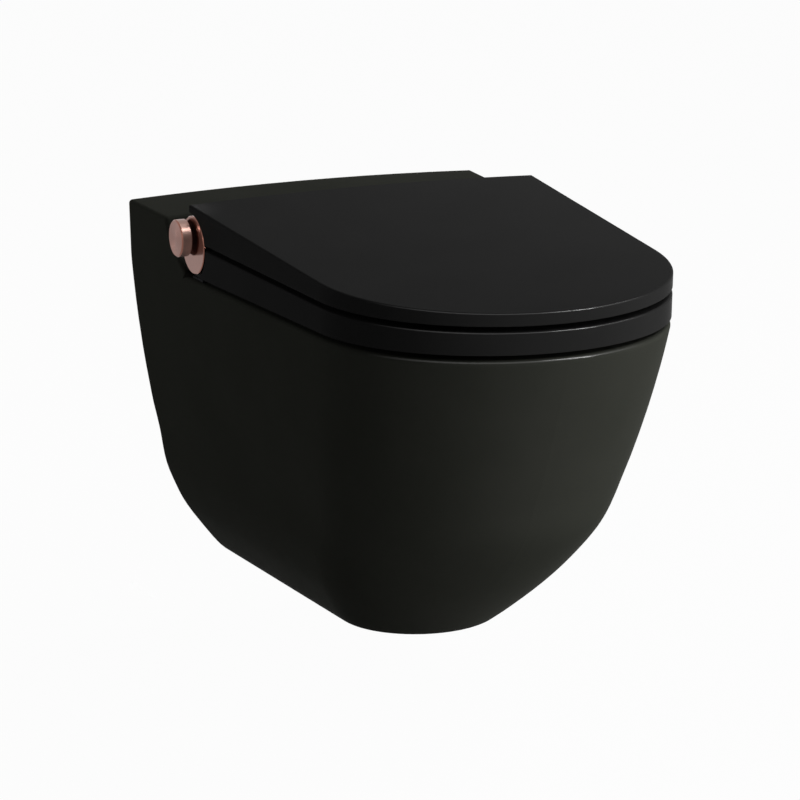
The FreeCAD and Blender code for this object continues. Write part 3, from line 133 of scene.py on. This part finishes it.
def white_when_seen(tree):
    """A factor that is 1 for what the camera sees, straight on, in a mirror or through glass, and else 0."""
    path = tree.nodes.new("ShaderNodeLightPath")
    factor = path.outputs["Is Camera Ray"]
    for label in ("Is Glossy Ray", "Is Transmission Ray"):
        factor = calculate(tree, "MAXIMUM", factor, path.outputs[label])
    return factor


# %% [markdown]
# ## Floor
# The toilet hangs with its rim about 0.4 m above the floor. A flat plane would end in an edge behind it,
# so the floor is a pale disc whose far edge curves up into a low backdrop. Seen by the camera or in a
# reflection it is white, and a small part of its own shading is mixed in, so that the soft shadow under
# the bowl still shows.

# %% Floor
FLOOR_DROP = 0.33
FLOOR_RADIUS = 11.0
COVE_RADIUS = 1.2
COVE_STEPS = 12
FLOOR_SIDES = 96
FLOOR_GREY = (0.3, 0.3, 0.3, 1.0)
SHADE_SHARE = 0.03


def white_floor():
    material = bpy.data.materials.new("pale_floor")
    material.use_nodes = True
    tree = material.node_tree
    tree.nodes.clear()
    link = tree.links.new
    matt = tree.nodes.new("ShaderNodeBsdfDiffuse")
    matt.inputs["Color"].default_value = FLOOR_GREY
    glow = tree.nodes.new("ShaderNodeEmission")
    mix = tree.nodes.new("ShaderNodeMixShader")
    link(calculate(tree, "MULTIPLY", white_when_seen(tree), 1.0 - SHADE_SHARE), mix.inputs["Fac"])
    link(matt.outputs[0], mix.inputs[1])
    link(glow.outputs[0], mix.inputs[2])
    output = tree.nodes.new("ShaderNodeOutputMaterial")
    link(mix.outputs[0], output.inputs["Surface"])
    return material


def floor_disc():
    profile = [(FLOOR_RADIUS - COVE_RADIUS, 0.0)]
    for i in range(1, COVE_STEPS + 1):
        turn = i / COVE_STEPS * math.pi / 2
        out = FLOOR_RADIUS - COVE_RADIUS * (1 - math.sin(turn))
        profile.append((out, COVE_RADIUS * (1 - math.cos(turn))))
    points = [(0.0, 0.0, -FLOOR_DROP)]
    for radius, height in profile:
        for k in range(FLOOR_SIDES):
            angle = 2 * math.pi * k / FLOOR_SIDES
            points.append((radius * math.cos(angle), radius * math.sin(angle), height - FLOOR_DROP))
    faces = [(0, 1 + k, 1 + (k + 1) % FLOOR_SIDES) for k in range(FLOOR_SIDES)]
    for ring in range(len(profile) - 1):
        low = 1 + ring * FLOOR_SIDES
        high = low + FLOOR_SIDES
        for k in range(FLOOR_SIDES):
            after = (k + 1) % FLOOR_SIDES
            faces.append((low + k, high + k, high + after, low + after))
    mesh = bpy.data.meshes.new("floor")
    mesh.from_pydata(points, [], faces)
    mesh.polygons.foreach_set("use_smooth", [True] * len(mesh.polygons))
    mesh.materials.append(white_floor())
    disc = bpy.data.objects.new("floor", mesh)
    scene.collection.objects.link(disc)
    print("floor of", len(faces), "faces,", FLOOR_DROP, "m below the studs")


floor_disc()

# %% [markdown]
# ## Light
# Matt black ware shows its shape through how the light falls off round it, so most lamps are large and
# soft and stand on the right. One hangs high on the right and lights the lid. The key lamp stands low on
# the right and lights the bowl, and a low one in front lifts the flank that leans back under the rim. A
# tall strip draws the bright lines along the rounded edges of the nose, and a small lamp high in front
# carries them to the left. Two weak ones on the left keep that side from going flat, and a narrow beam
# falls on the knob. The room itself is dark, but where the camera sees it, straight on or mirrored, it is
# white like the floor.

# %% Light
SKY = 0.03
LAMP_AIM = (0.0, -0.35, 0.0)
KNOB_AIM = (-0.198, -0.152, 0.13)
KNOB_BEAM = math.radians(1.4)
# name: place, width, height, power in watts, then for the knob what it is aimed at and its beam
LAMPS = {
    "lid_lamp": ((1.6, -0.1, 1.9), 1.0, 1.0, 40.0),
    "key_lamp": ((2.6, -1.45, 0.05), 2.0, 0.7, 64.0),
    "edge_lamp": ((1.7, -2.4, 1.3), 0.2, 1.8, 36.0),
    "low_lamp": ((0.6, -2.4, -0.02), 1.0, 0.6, 22.0),
    "left_lamp": ((-2.9, -0.5, 0.6), 1.0, 1.0, 5.0),
    "rear_lamp": ((-2.0, 1.6, 0.7), 1.0, 1.0, 19.0),
    "high_lamp": ((1.06, -2.05, 2.05), 0.5, 0.5, 10.0),
    "knob_lamp": ((-0.45, -1.4, 2.27), 0.03, 0.03, 0.009, KNOB_AIM, KNOB_BEAM),
}


def area_lamp(name, place, width, height, power, aim=LAMP_AIM, beam=math.pi):
    data = bpy.data.lights.new(name, "AREA")
    data.shape = "RECTANGLE"
    data.size = width
    data.size_y = height
    data.energy = power
    data.spread = beam
    lamp = bpy.data.objects.new(name, data)
    lamp.location = place
    lamp.rotation_euler = (Vector(place) - Vector(aim)).to_track_quat("Z", "Y").to_euler()
    scene.collection.objects.link(lamp)


def dark_studio():
    world = bpy.data.worlds.new("studio")
    world.use_nodes = True
    tree = world.node_tree
    seen = tree.nodes.new("ShaderNodeMapRange")
    seen.inputs["To Min"].default_value = SKY
    tree.links.new(white_when_seen(tree), seen.inputs["Value"])
    background = tree.nodes["Background"]
    background.inputs["Color"].default_value = (1.0, 1.0, 1.0, 1.0)
    tree.links.new(seen.outputs["Result"], background.inputs["Strength"])
    scene.world = world


for name, setting in LAMPS.items():
    area_lamp(name, *setting)
dark_studio()
print(len(LAMPS), "lamps")

# %% [markdown]
# ## Shared effects
# Several finishes need the same effects, so each is a node group that is built once: a fine grain that
# varies the roughness and gives a height for a bump, a slow drift between two near colours, the rings
# that a lathe leaves round an axis, and a mask that puts a gloss coat on the rounded upper edges round the
# nose, so that the lamps draw painted highlight lines there. Images could hold all this, but they need UV
# maps and show seams. Object coordinates have no seams, and they are metres here, so the scales are real.
# The mask takes only edges that face upwards, so they mirror the lamps and not the white floor. It reads
# the normal in the piece's own frame, so it stays on the edge when the lid or the seat is up. It fades out
# behind the nose and towards the right, where the painted highlight lines should end.

# %% Node groups
# nearly all of a noise lies between these two
NOISE_LOW = 0.3
NOISE_HIGH = 0.7
GRAIN_DETAIL = 2.0
CLOUD_DETAIL = 4.0
RING_DETAIL = 3.0


def new_group(name, inputs, outputs):
    tree = bpy.data.node_groups.new(name, "ShaderNodeTree")
    for label, kind, value in inputs:
        socket = tree.interface.new_socket(label, in_out="INPUT", socket_type=kind)
        socket.default_value = value
    for label, kind in outputs:
        tree.interface.new_socket(label, in_out="OUTPUT", socket_type=kind)
    return tree, tree.nodes.new("NodeGroupInput"), tree.nodes.new("NodeGroupOutput")


def spread(tree, noise, low, high):
    """Stretches a noise over the range from low to high."""
    node = tree.nodes.new("ShaderNodeMapRange")
    feed(tree, noise, node.inputs["Value"])
    feed(tree, NOISE_LOW, node.inputs["From Min"])
    feed(tree, NOISE_HIGH, node.inputs["From Max"])
    feed(tree, low, node.inputs["To Min"])
    feed(tree, high, node.inputs["To Max"])
    return node.outputs["Result"]


def noise_on(tree, scale, detail):
    place = tree.nodes.new("ShaderNodeTexCoord")
    noise = tree.nodes.new("ShaderNodeTexNoise")
    noise.inputs["Detail"].default_value = detail
    tree.links.new(place.outputs["Object"], noise.inputs["Vector"])
    tree.links.new(scale, noise.inputs["Scale"])
    return noise.outputs["Fac"]


def fine_grain():
    inputs = [("Scale", "NodeSocketFloat", 2000.0), ("Smooth", "NodeSocketFloat", 0.4),
              ("Rough", "NodeSocketFloat", 0.5)]
    outputs = [("Roughness", "NodeSocketFloat"), ("Height", "NodeSocketFloat")]
    tree, given, result = new_group("fine_grain", inputs, outputs)
    grain = noise_on(tree, given.outputs["Scale"], GRAIN_DETAIL)
    rough = spread(tree, grain, given.outputs["Smooth"], given.outputs["Rough"])
    tree.links.new(rough, result.inputs["Roughness"])
    tree.links.new(grain, result.inputs["Height"])
    return tree


def colour_drift():
    inputs = [("Scale", "NodeSocketFloat", 12.0), ("One", "NodeSocketColor", (0.5, 0.5, 0.5, 1.0)),
              ("Other", "NodeSocketColor", (0.6, 0.6, 0.6, 1.0))]
    tree, given, result = new_group("colour_drift", inputs, [("Colour", "NodeSocketColor")])
    cloud = spread(tree, noise_on(tree, given.outputs["Scale"], CLOUD_DETAIL), 0.0, 1.0)
    colour = blend(tree, cloud, given.outputs["One"], given.outputs["Other"])
    tree.links.new(colour, result.inputs["Colour"])
    return tree


def turned_lines():
    inputs = [("Axis Y", "NodeSocketFloat", 0.0), ("Axis Z", "NodeSocketFloat", 0.0),
              ("Lines", "NodeSocketFloat", 4000.0), ("Smooth", "NodeSocketFloat", 0.2),
              ("Rough", "NodeSocketFloat", 0.3)]
    outputs = [("Roughness", "NodeSocketFloat"), ("Height", "NodeSocketFloat")]
    tree, given, result = new_group("turned_lines", inputs, outputs)
    link = tree.links.new
    place = axes_of(tree, "Object")
    across = tree.nodes.new("ShaderNodeCombineXYZ")
    for label in "YZ":
        offset = calculate(tree, "SUBTRACT", place[label], given.outputs["Axis " + label])
        link(offset, across.inputs[label])
    radius = tree.nodes.new("ShaderNodeVectorMath")
    radius.operation = "LENGTH"
    link(across.outputs["Vector"], radius.inputs[0])
    rings = tree.nodes.new("ShaderNodeTexNoise")
    rings.noise_dimensions = "1D"
    rings.inputs["Detail"].default_value = RING_DETAIL
    link(calculate(tree, "ADD", radius.outputs["Value"], place["X"]), rings.inputs["W"])
    link(given.outputs["Lines"], rings.inputs["Scale"])
    rough = spread(tree, rings.outputs["Fac"], given.outputs["Smooth"], given.outputs["Rough"])
    link(rough, result.inputs["Roughness"])
    link(rings.outputs["Fac"], result.inputs["Height"])
    return tree


# A mask for a gloss coat on the upper rounded edges, placed where the lamps should draw painted highlight
# lines.
def painted_highlight_edges():
    inputs = [("Steep", "NodeSocketFloat", 0.36), ("Flat", "NodeSocketFloat", 0.72),
              ("Front From", "NodeSocketFloat", -0.50), ("Front To", "NodeSocketFloat", -0.58),
              ("Right From", "NodeSocketFloat", 0.10), ("Right To", "NodeSocketFloat", 0.03),
              ("Sheen", "NodeSocketFloat", 0.4)]
    tree, given, result = new_group("painted_highlight_edges", inputs, [("Mask", "NodeSocketFloat")])
    link = tree.links.new
    # only edges that face upwards get the coat, so they mirror the lamps and not the white floor: painted
    # highlight
    lean = axes_of(tree, "Normal")["Z"]
    lifted = calculate(tree, "GREATER_THAN", lean, given.outputs["Steep"])
    tilted = calculate(tree, "LESS_THAN", lean, given.outputs["Flat"])
    mask = calculate(tree, "MULTIPLY", lifted, tilted)
    mask = calculate(tree, "MULTIPLY", mask, given.outputs["Sheen"])
    place = axes_of(tree, "Object")
    # the painted highlight fades out behind the nose and towards the right, where its lines should end
    for axis, side in (("Y", "Front"), ("X", "Right")):
        fade = tree.nodes.new("ShaderNodeMapRange")
        fade.interpolation_type = "SMOOTHSTEP"
        link(place[axis], fade.inputs["Value"])
        link(given.outputs[side + " From"], fade.inputs["From Min"])
        link(given.outputs[side + " To"], fade.inputs["From Max"])
        mask = calculate(tree, "MULTIPLY", mask, fade.outputs["Result"])
    link(mask, result.inputs["Mask"])
    return tree


GRAIN, DRIFT, RINGS, EDGES = fine_grain(), colour_drift(), turned_lines(), painted_highlight_edges()
print("groups:", [tree.name for tree in (GRAIN, DRIFT, RINGS, EDGES)])


# %% [markdown]
# ## How a finish is put together
# Every finish starts from one Principled shader with a colour, a grain or rings, and a faint bump. The
# functions below make that start and place the groups in it. What is the same all over a surface, such as
# its specular level, is set on the shader itself. The finished materials are kept by the record's
# material slot, or by node where a piece has its own.


# %% Finish helpers
def start_finish(name, metallic=0.0, specular=0.5):
    material = bpy.data.materials.new(name)
    material.use_nodes = True
    tree = material.node_tree
    shader = tree.nodes["Principled BSDF"]
    shader.inputs["Metallic"].default_value = metallic
    shader.inputs["Specular IOR Level"].default_value = specular
    return material, tree, shader


def add_group(tree, group, **values):
    node = tree.nodes.new("ShaderNodeGroup")
    node.node_tree = group
    for label, value in values.items():
        node.inputs[label.replace("_", " ")].default_value = value
    return node


def add_drift(tree, shader, scale, one, other):
    drift = add_group(tree, DRIFT, Scale=scale, One=(*one, 1.0), Other=(*other, 1.0))
    tree.links.new(drift.outputs["Colour"], shader.inputs["Base Color"])
    return drift.outputs["Colour"]


def add_bump(tree, shader, height, depth):
    bump = tree.nodes.new("ShaderNodeBump")
    bump.inputs["Strength"].default_value = 1.0
    bump.inputs["Distance"].default_value = depth
    tree.links.new(height, bump.inputs["Height"])
    tree.links.new(bump.outputs["Normal"], shader.inputs["Normal"])


def add_grain(tree, shader, scale, smooth, rough, depth):
    grain = add_group(tree, GRAIN, Scale=scale, Smooth=smooth, Rough=rough)
    tree.links.new(grain.outputs["Roughness"], shader.inputs["Roughness"])
    add_bump(tree, shader, grain.outputs["Height"], depth)


def add_rings(tree, shader, axis, lines, smooth, rough, depth):
    rings = add_group(tree, RINGS, Axis_Y=axis[1], Axis_Z=axis[2], Lines=lines, Smooth=smooth, Rough=rough)
    tree.links.new(rings.outputs["Roughness"], shader.inputs["Roughness"])
    add_bump(tree, shader, rings.outputs["Height"], depth)


# Gives the rounded edges the gloss coat of the painted highlight lines.
def add_sheen(tree, shader, strength, roughness):
    edges = add_group(tree, EDGES, Sheen=strength)
    tree.links.new(edges.outputs["Mask"], shader.inputs["Coat Weight"])
    shader.inputs["Coat Roughness"].default_value = roughness


slot_finishes = {}
node_finishes = {}

# %% [markdown]
# ## Matt black glaze
# The pan is vitreous china under a matt black glaze with a faint warm, greenish cast. One even black
# would look like plastic, so the glaze is slightly uneven, as a fired coat is: its colour drifts, its
# roughness is mottled, and a shallow orange peel catches the light. The face that meets the wall is wiped
# clean before firing, so it shows the pale bare body. The gloss coat that gives the rounded edges their
# painted highlight is the same on the glaze and on the black plastic.

# %% Glaze
# strength and roughness of the gloss coat that makes the painted highlight lines on the edges
EDGE_SHEEN = 0.9
EDGE_ROUGH = 0.2
WIPED_DEPTH = 0.0005
BARE_CLAY = (0.46, 0.43, 0.38, 1.0)
GLAZE = (0.0215, 0.0225, 0.0188)
GLAZE_PALE = (0.0248, 0.0256, 0.0218)


def matt_glaze():
    material, tree, shader = start_finish("matt_black_glaze", specular=0.0003)
    colour = add_drift(tree, shader, scale=9.0, one=GLAZE, other=GLAZE_PALE)
    add_grain(tree, shader, scale=420.0, smooth=0.38, rough=0.46, depth=0.00003)
    add_sheen(tree, shader, EDGE_SHEEN, EDGE_ROUGH)
    wiped = calculate(tree, "GREATER_THAN", axes_of(tree, "Object")["Y"], -WIPED_DEPTH)
    tree.links.new(blend(tree, wiped, colour, BARE_CLAY), shader.inputs["Base Color"])
    return material


slot_finishes["matt_ceramic"] = matt_glaze()
print("glaze from", GLAZE, "to", GLAZE_PALE)

# %% [markdown]
# ## Black plastic of the seat and the lid
# The seat, the lid and its lining are moulded in a plain black plastic with a very fine spark-eroded
# grain. It is a neutral black, darker than the glaze. Its gloss is set to almost nothing, because a broad
# gloss would lift the flat lid to grey.

# %% Lid plastic
LID_BLACK = (0.0118, 0.0118, 0.0117)
LID_PALE = (0.0130, 0.0130, 0.0129)


def lid_plastic():
    material, tree, shader = start_finish("lid_black_plastic", specular=0.0013)
    add_drift(tree, shader, scale=14.0, one=LID_BLACK, other=LID_PALE)
    add_grain(tree, shader, scale=2200.0, smooth=0.30, rough=0.36, depth=0.000012)
    add_sheen(tree, shader, EDGE_SHEEN, EDGE_ROUGH)
    return material


slot_finishes["matt_black_plastic"] = lid_plastic()
print("lid plastic from", LID_BLACK, "to", LID_PALE)

# %% [markdown]
# ## Rose metal
# The knob and the discs at the ends of the hinge have a dull rose plating. They are brushed or polished
# in circles, so their gloss runs out in rays. The shader's anisotropy gives these, with a tangent that
# goes round the axis. The gloss spreads across the brush lines and not along them, hence the quarter
# turn. The discs are smoother, so the left one mirrors the knob in front of it. The side of the knob is
# paler and a little duller than its face.

# %% Rose metal
ROSE = (0.207, 0.090, 0.067)
ROSE_DEEP = (0.184, 0.079, 0.059)
ROSE_PALE = (0.26, 0.165, 0.14, 1.0)
SIDE_ROUGH = 0.38
# a normal that leans less than this along the axis belongs to the side
SIDE_LEAN = 0.3
QUARTER_TURN = 0.25
# node: material, lines per metre, smoothest and roughest, bump's depth, anisotropy, a side of its own
ROSE_PIECES = {
    "knob": ("brushed_rose_metal", 9000.0, 0.26, 0.36, 0.000003, 0.6, True),
    "hinge_disc_left": ("polished_rose_metal", 6000.0, 0.12, 0.18, 0.0000015, 0.35, False),
    "hinge_disc_right": ("polished_rose_metal_right", 6000.0, 0.12, 0.18, 0.0000015, 0.35, False),
}


def middle_of(node):
    low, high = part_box(node)
    return [(a + b) / 2 for a, b in zip(low, high)]


def change_side(tree, shader):
    """Puts the side's own colour and roughness where the piece faces away from its axis."""
    along = calculate(tree, "ABSOLUTE", axes_of(tree, "Normal")["X"])
    side = calculate(tree, "LESS_THAN", along, SIDE_LEAN)
    for label, kind, value in (("Base Color", "RGBA", ROSE_PALE), ("Roughness", "FLOAT", SIDE_ROUGH)):
        socket = shader.inputs[label]
        face_value = socket.links[0].from_socket
        tree.links.new(blend(tree, side, face_value, value, kind), socket)


def rose_metal(node, name, lines, smooth, rough, depth, anisotropy, own_side):
    material, tree, shader = start_finish(name, metallic=1.0)
    add_drift(tree, shader, scale=60.0, one=ROSE, other=ROSE_DEEP)
    add_rings(tree, shader, middle_of(node), lines, smooth, rough, depth)
    if own_side:
        change_side(tree, shader)
    shader.inputs["Anisotropic"].default_value = anisotropy
    shader.inputs["Anisotropic Rotation"].default_value = QUARTER_TURN
    tangent = tree.nodes.new("ShaderNodeTangent")
    tangent.direction_type = "RADIAL"
    tangent.axis = "X"
    tree.links.new(tangent.outputs["Tangent"], shader.inputs["Tangent"])
    return material


for node, setting in ROSE_PIECES.items():
    node_finishes[node] = rose_metal(node, *setting)
print("rose metal on", list(node_finishes))

# %% [markdown]
# ## Plain plastics and bright metals
# The other plastics and the rubber differ only in their numbers, so one function and a table make them
# all. Pins, screws, clamps and the heater are stainless steel, the water fittings are turned brass. Both
# are bright metals whose colour and roughness vary a little, and the brass has darker patches where it
# has been handled.

# %% Plastics and metals
# slot: material, two near colours, smoothest and roughest, and where they differ from the usual ones the
# grain's scale, the bump's depth and the specular level
PLASTICS = {
    "housing_plastic": ("housing_dark_plastic", (0.008, 0.008, 0.008), (0.011, 0.011, 0.011), 0.45, 0.6,
                        2200.0, 0.00001, 0.02),
    "module_plastic": ("module_dark_plastic", (0.010, 0.010, 0.011), (0.014, 0.014, 0.015), 0.45, 0.6,
                       1600.0, 0.00002, 0.02),
    "rubber": ("soft_rubber", (0.016, 0.016, 0.016), (0.024, 0.024, 0.023), 0.7, 0.85,
               1200.0, 0.00002, 0.25),
    "hose": ("hose_rubber", (0.03, 0.03, 0.031), (0.04, 0.04, 0.041), 0.55, 0.7,
             900.0, 0.00003, 0.3),
    "wand_plastic": ("wand_white_plastic", (0.74, 0.75, 0.76), (0.79, 0.80, 0.80), 0.14, 0.22,
                     700.0, 0.000003),
    "damper_plastic": ("grey_plastic", (0.12, 0.12, 0.125), (0.15, 0.15, 0.155), 0.4, 0.55),
    "gear_plastic": ("natural_plastic", (0.66, 0.64, 0.58), (0.71, 0.70, 0.64), 0.35, 0.5),
    "supply_case": ("case_black_plastic", (0.022, 0.022, 0.023), (0.03, 0.03, 0.031), 0.25, 0.4),
    "sleeve_plastic": ("sleeve_white_plastic", (0.62, 0.62, 0.60), (0.68, 0.68, 0.66), 0.4, 0.55),
}
PLASTIC_CLOUDS = 14.0
# slot: material, two near colours, smoothest and roughest
METALS = {
    "steel": ("stainless_steel", (0.50, 0.51, 0.52), (0.58, 0.58, 0.58), 0.22, 0.34),
    "brass": ("turned_brass", (0.66, 0.48, 0.21), (0.54, 0.38, 0.16), 0.24, 0.42),
}
METAL_CLOUDS = 40.0
METAL_GRAIN = 900.0
METAL_DEPTH = 0.000004


def moulded(name, one, other, smooth, rough, scale=2200.0, depth=0.00001, specular=0.4):
    material, tree, shader = start_finish(name, specular=specular)
    add_drift(tree, shader, PLASTIC_CLOUDS, one, other)
    add_grain(tree, shader, scale, smooth, rough, depth)
    return material


def bright_metal(name, one, other, smooth, rough):
    material, tree, shader = start_finish(name, metallic=1.0)
    add_drift(tree, shader, METAL_CLOUDS, one, other)
    add_grain(tree, shader, METAL_GRAIN, smooth, rough, METAL_DEPTH)
    return material


for slot, setting in PLASTICS.items():
    slot_finishes[slot] = moulded(*setting)
for slot, setting in METALS.items():
    slot_finishes[slot] = bright_metal(*setting)
print(len(PLASTICS), "plastics and", len(METALS), "metals")

# %% [markdown]
# ## Circuit board
# The board is green laminate with copper runs under the lacquer and black parts on top. It lies inside
# the module, so the runs need no shape of their own: they are a brick pattern's joints, and anything
# above the laminate's own face is black.

# %% Board
BOARD_THICKNESS = 0.0016
BOARD_MARGIN = 0.0001
BOARD_PARTS = (0.012, 0.012, 0.013, 1.0)
BOARD_RUNS = {
    "Color1": (0.012, 0.085, 0.035, 1.0),
    "Color2": (0.016, 0.105, 0.045, 1.0),
    "Mortar": (0.05, 0.22, 0.10, 1.0),
    "Scale": 130.0,
    "Mortar Size": 0.04,
}


def board_finish():
    material, tree, shader = start_finish("board_green")
    place = tree.nodes.new("ShaderNodeTexCoord")
    runs = tree.nodes.new("ShaderNodeTexBrick")
    tree.links.new(place.outputs["Object"], runs.inputs["Vector"])
    for label, value in BOARD_RUNS.items():
        runs.inputs[label].default_value = value
    laminate_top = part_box("control_board")[0][2] + BOARD_THICKNESS
    above = calculate(tree, "GREATER_THAN", axes_of(tree, "Object")["Z"], laminate_top + BOARD_MARGIN)
    tree.links.new(blend(tree, above, runs.outputs["Color"], BOARD_PARTS), shader.inputs["Base Color"])
    add_grain(tree, shader, scale=1500.0, smooth=0.3, rough=0.45, depth=0.000006)
    print("laminate's face at", round(laminate_top, 4))
    return material


slot_finishes["board"] = board_finish()

# %% [markdown]
# ## Which piece has which finish
# The record says which material slot each node belongs to. Each slot has one finish, apart from the rose
# metal, whose rings are centred on the piece that it is on. A loop over the record gives every node its own,
# so no piece is forgotten.

# %% Finishes
for part in frame["record"]["subparts"]:
    node = part["node"]
    finish = node_finishes.get(node) or slot_finishes[part["material_slot"]]
    mesh = nodes[node].data
    mesh.materials.clear()
    mesh.materials.append(finish)
print(len(slot_finishes) + len(node_finishes), "finishes on", len(nodes), "nodes")

# %% [markdown]
# ## Screws
# Four small screws hold the bidet module's cover and two larger ones hold the hinge to its base. They
# show when the lid is up. The bare solids have plain heads, so each set is built again here with tapered
# heads and hex sockets. A Geometry Nodes tree makes one screw from its four sizes and sets it on every
# point it is given. The points come from the box of the set that is replaced.

# %% Screw tree
HEAD_TAPER = 0.84
SOCKET_SHARE = 0.5
ROUND_SIDES = 40
HEX_SIDES = 6
# a shank lowered by half its length would end at the head, so a little less lets it reach in
SHANK_DROP = -0.49


def screw_tree():
    tree = bpy.data.node_groups.new("socket_screws", "GeometryNodeTree")
    tree.interface.new_socket("Seats", in_out="INPUT", socket_type="NodeSocketGeometry")
    for label in ("Head Radius", "Head Height", "Shank Radius", "Shank Length"):
        tree.interface.new_socket(label, in_out="INPUT", socket_type="NodeSocketFloat")
    tree.interface.new_socket("Finish", in_out="INPUT", socket_type="NodeSocketMaterial")
    tree.interface.new_socket("Screws", in_out="OUTPUT", socket_type="NodeSocketGeometry")
    given = tree.nodes.new("NodeGroupInput").outputs
    link = tree.links.new

    def times(source, factor):
        return calculate(tree, "MULTIPLY", source, factor)

    def moved_up(mesh, height):
        offset = tree.nodes.new("ShaderNodeCombineXYZ")
        link(height, offset.inputs["Z"])
        node = tree.nodes.new("GeometryNodeTransform")
        link(mesh, node.inputs["Geometry"])
        link(offset.outputs["Vector"], node.inputs["Translation"])
        return node.outputs["Geometry"]

    def bar(sides, radius, length):
        node = tree.nodes.new("GeometryNodeMeshCylinder")
        node.inputs["Vertices"].default_value = sides
        link(radius, node.inputs["Radius"])
        link(length, node.inputs["Depth"])
        return node.outputs["Mesh"]

    def combined(operation, first, second):
        node = tree.nodes.new("GeometryNodeMeshBoolean")
        node.operation = operation
        link(first, node.inputs["Mesh 2" if operation == "UNION" else "Mesh 1"])
        link(second, node.inputs["Mesh 2"])
        return node.outputs["Mesh"]

    head = tree.nodes.new("GeometryNodeMeshCone")
    head.inputs["Vertices"].default_value = ROUND_SIDES
    link(given["Head Radius"], head.inputs["Radius Bottom"])
    link(times(given["Head Radius"], HEAD_TAPER), head.inputs["Radius Top"])
    link(given["Head Height"], head.inputs["Depth"])
    shank = bar(ROUND_SIDES, given["Shank Radius"], given["Shank Length"])
    shank = moved_up(shank, times(given["Shank Length"], SHANK_DROP))
    socket = bar(HEX_SIDES, times(given["Head Radius"], SOCKET_SHARE), given["Head Height"])
    socket = moved_up(socket, given["Head Height"])
    screw = combined("DIFFERENCE", combined("UNION", head.outputs["Mesh"], shank), socket)
    spread_out = tree.nodes.new("GeometryNodeInstanceOnPoints")
    link(given["Seats"], spread_out.inputs["Points"])
    link(screw, spread_out.inputs["Instance"])
    real = tree.nodes.new("GeometryNodeRealizeInstances")
    link(spread_out.outputs["Instances"], real.inputs["Geometry"])
    finish = tree.nodes.new("GeometryNodeSetMaterial")
    link(real.outputs["Geometry"], finish.inputs["Geometry"])
    link(given["Finish"], finish.inputs["Material"])
    result = tree.nodes.new("NodeGroupOutput")
    link(finish.outputs["Geometry"], result.inputs["Screws"])
    return tree


SCREWS = screw_tree()
print("screw tree of", len(SCREWS.nodes), "nodes")

# %% [markdown]
# The tree is run once for each set. Its result becomes a plain mesh, which takes the place of the set's
# solids and keeps their steel.

# %% Screws
# node: head radius, head height, shank radius
SCREW_SETS = {
    "module_screws": (0.003, 0.0016, 0.0015),
    "hinge_screws": (0.004, 0.0025, 0.002),
}


def socket_screws(node, head_radius, head_height, shank_radius):
    low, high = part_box(node)
    columns = (low[0] + head_radius, high[0] - head_radius)
    rows = (low[1] + head_radius, high[1] - head_radius)
    if rows[1] - rows[0] < head_radius:
        # the set stands in one row
        rows = (sum(rows) / 2,)
    seat_height = high[2] - head_height
    seats = [(x, y, seat_height) for x in columns for y in rows]
    mesh = bpy.data.meshes.new(node + "_seats")
    mesh.from_pydata(seats, [], [])
    piece = bpy.data.objects.new(node + "_socket_heads", mesh)
    scene.collection.objects.link(piece)
    modifier = piece.modifiers.new("screws", "NODES")
    modifier.node_group = SCREWS
    values = {"Head Radius": head_radius, "Head Height": head_height, "Shank Radius": shank_radius,
              "Shank Length": seat_height - low[2], "Finish": slot_finishes["steel"]}
    for item in SCREWS.interface.items_tree:
        if item.in_out == "INPUT" and item.name in values:
            modifier[item.identifier] = values[item.name]
    ready = piece.evaluated_get(bpy.context.evaluated_depsgraph_get())
    solid = bpy.data.meshes.new_from_object(ready)
    piece.modifiers.clear()
    piece.data = solid
    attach(piece, "pan")
    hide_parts(node)
    print(node, len(seats), "screws,", len(solid.polygons), "faces")


for node, sizes in SCREW_SETS.items():
    socket_screws(node, *sizes)
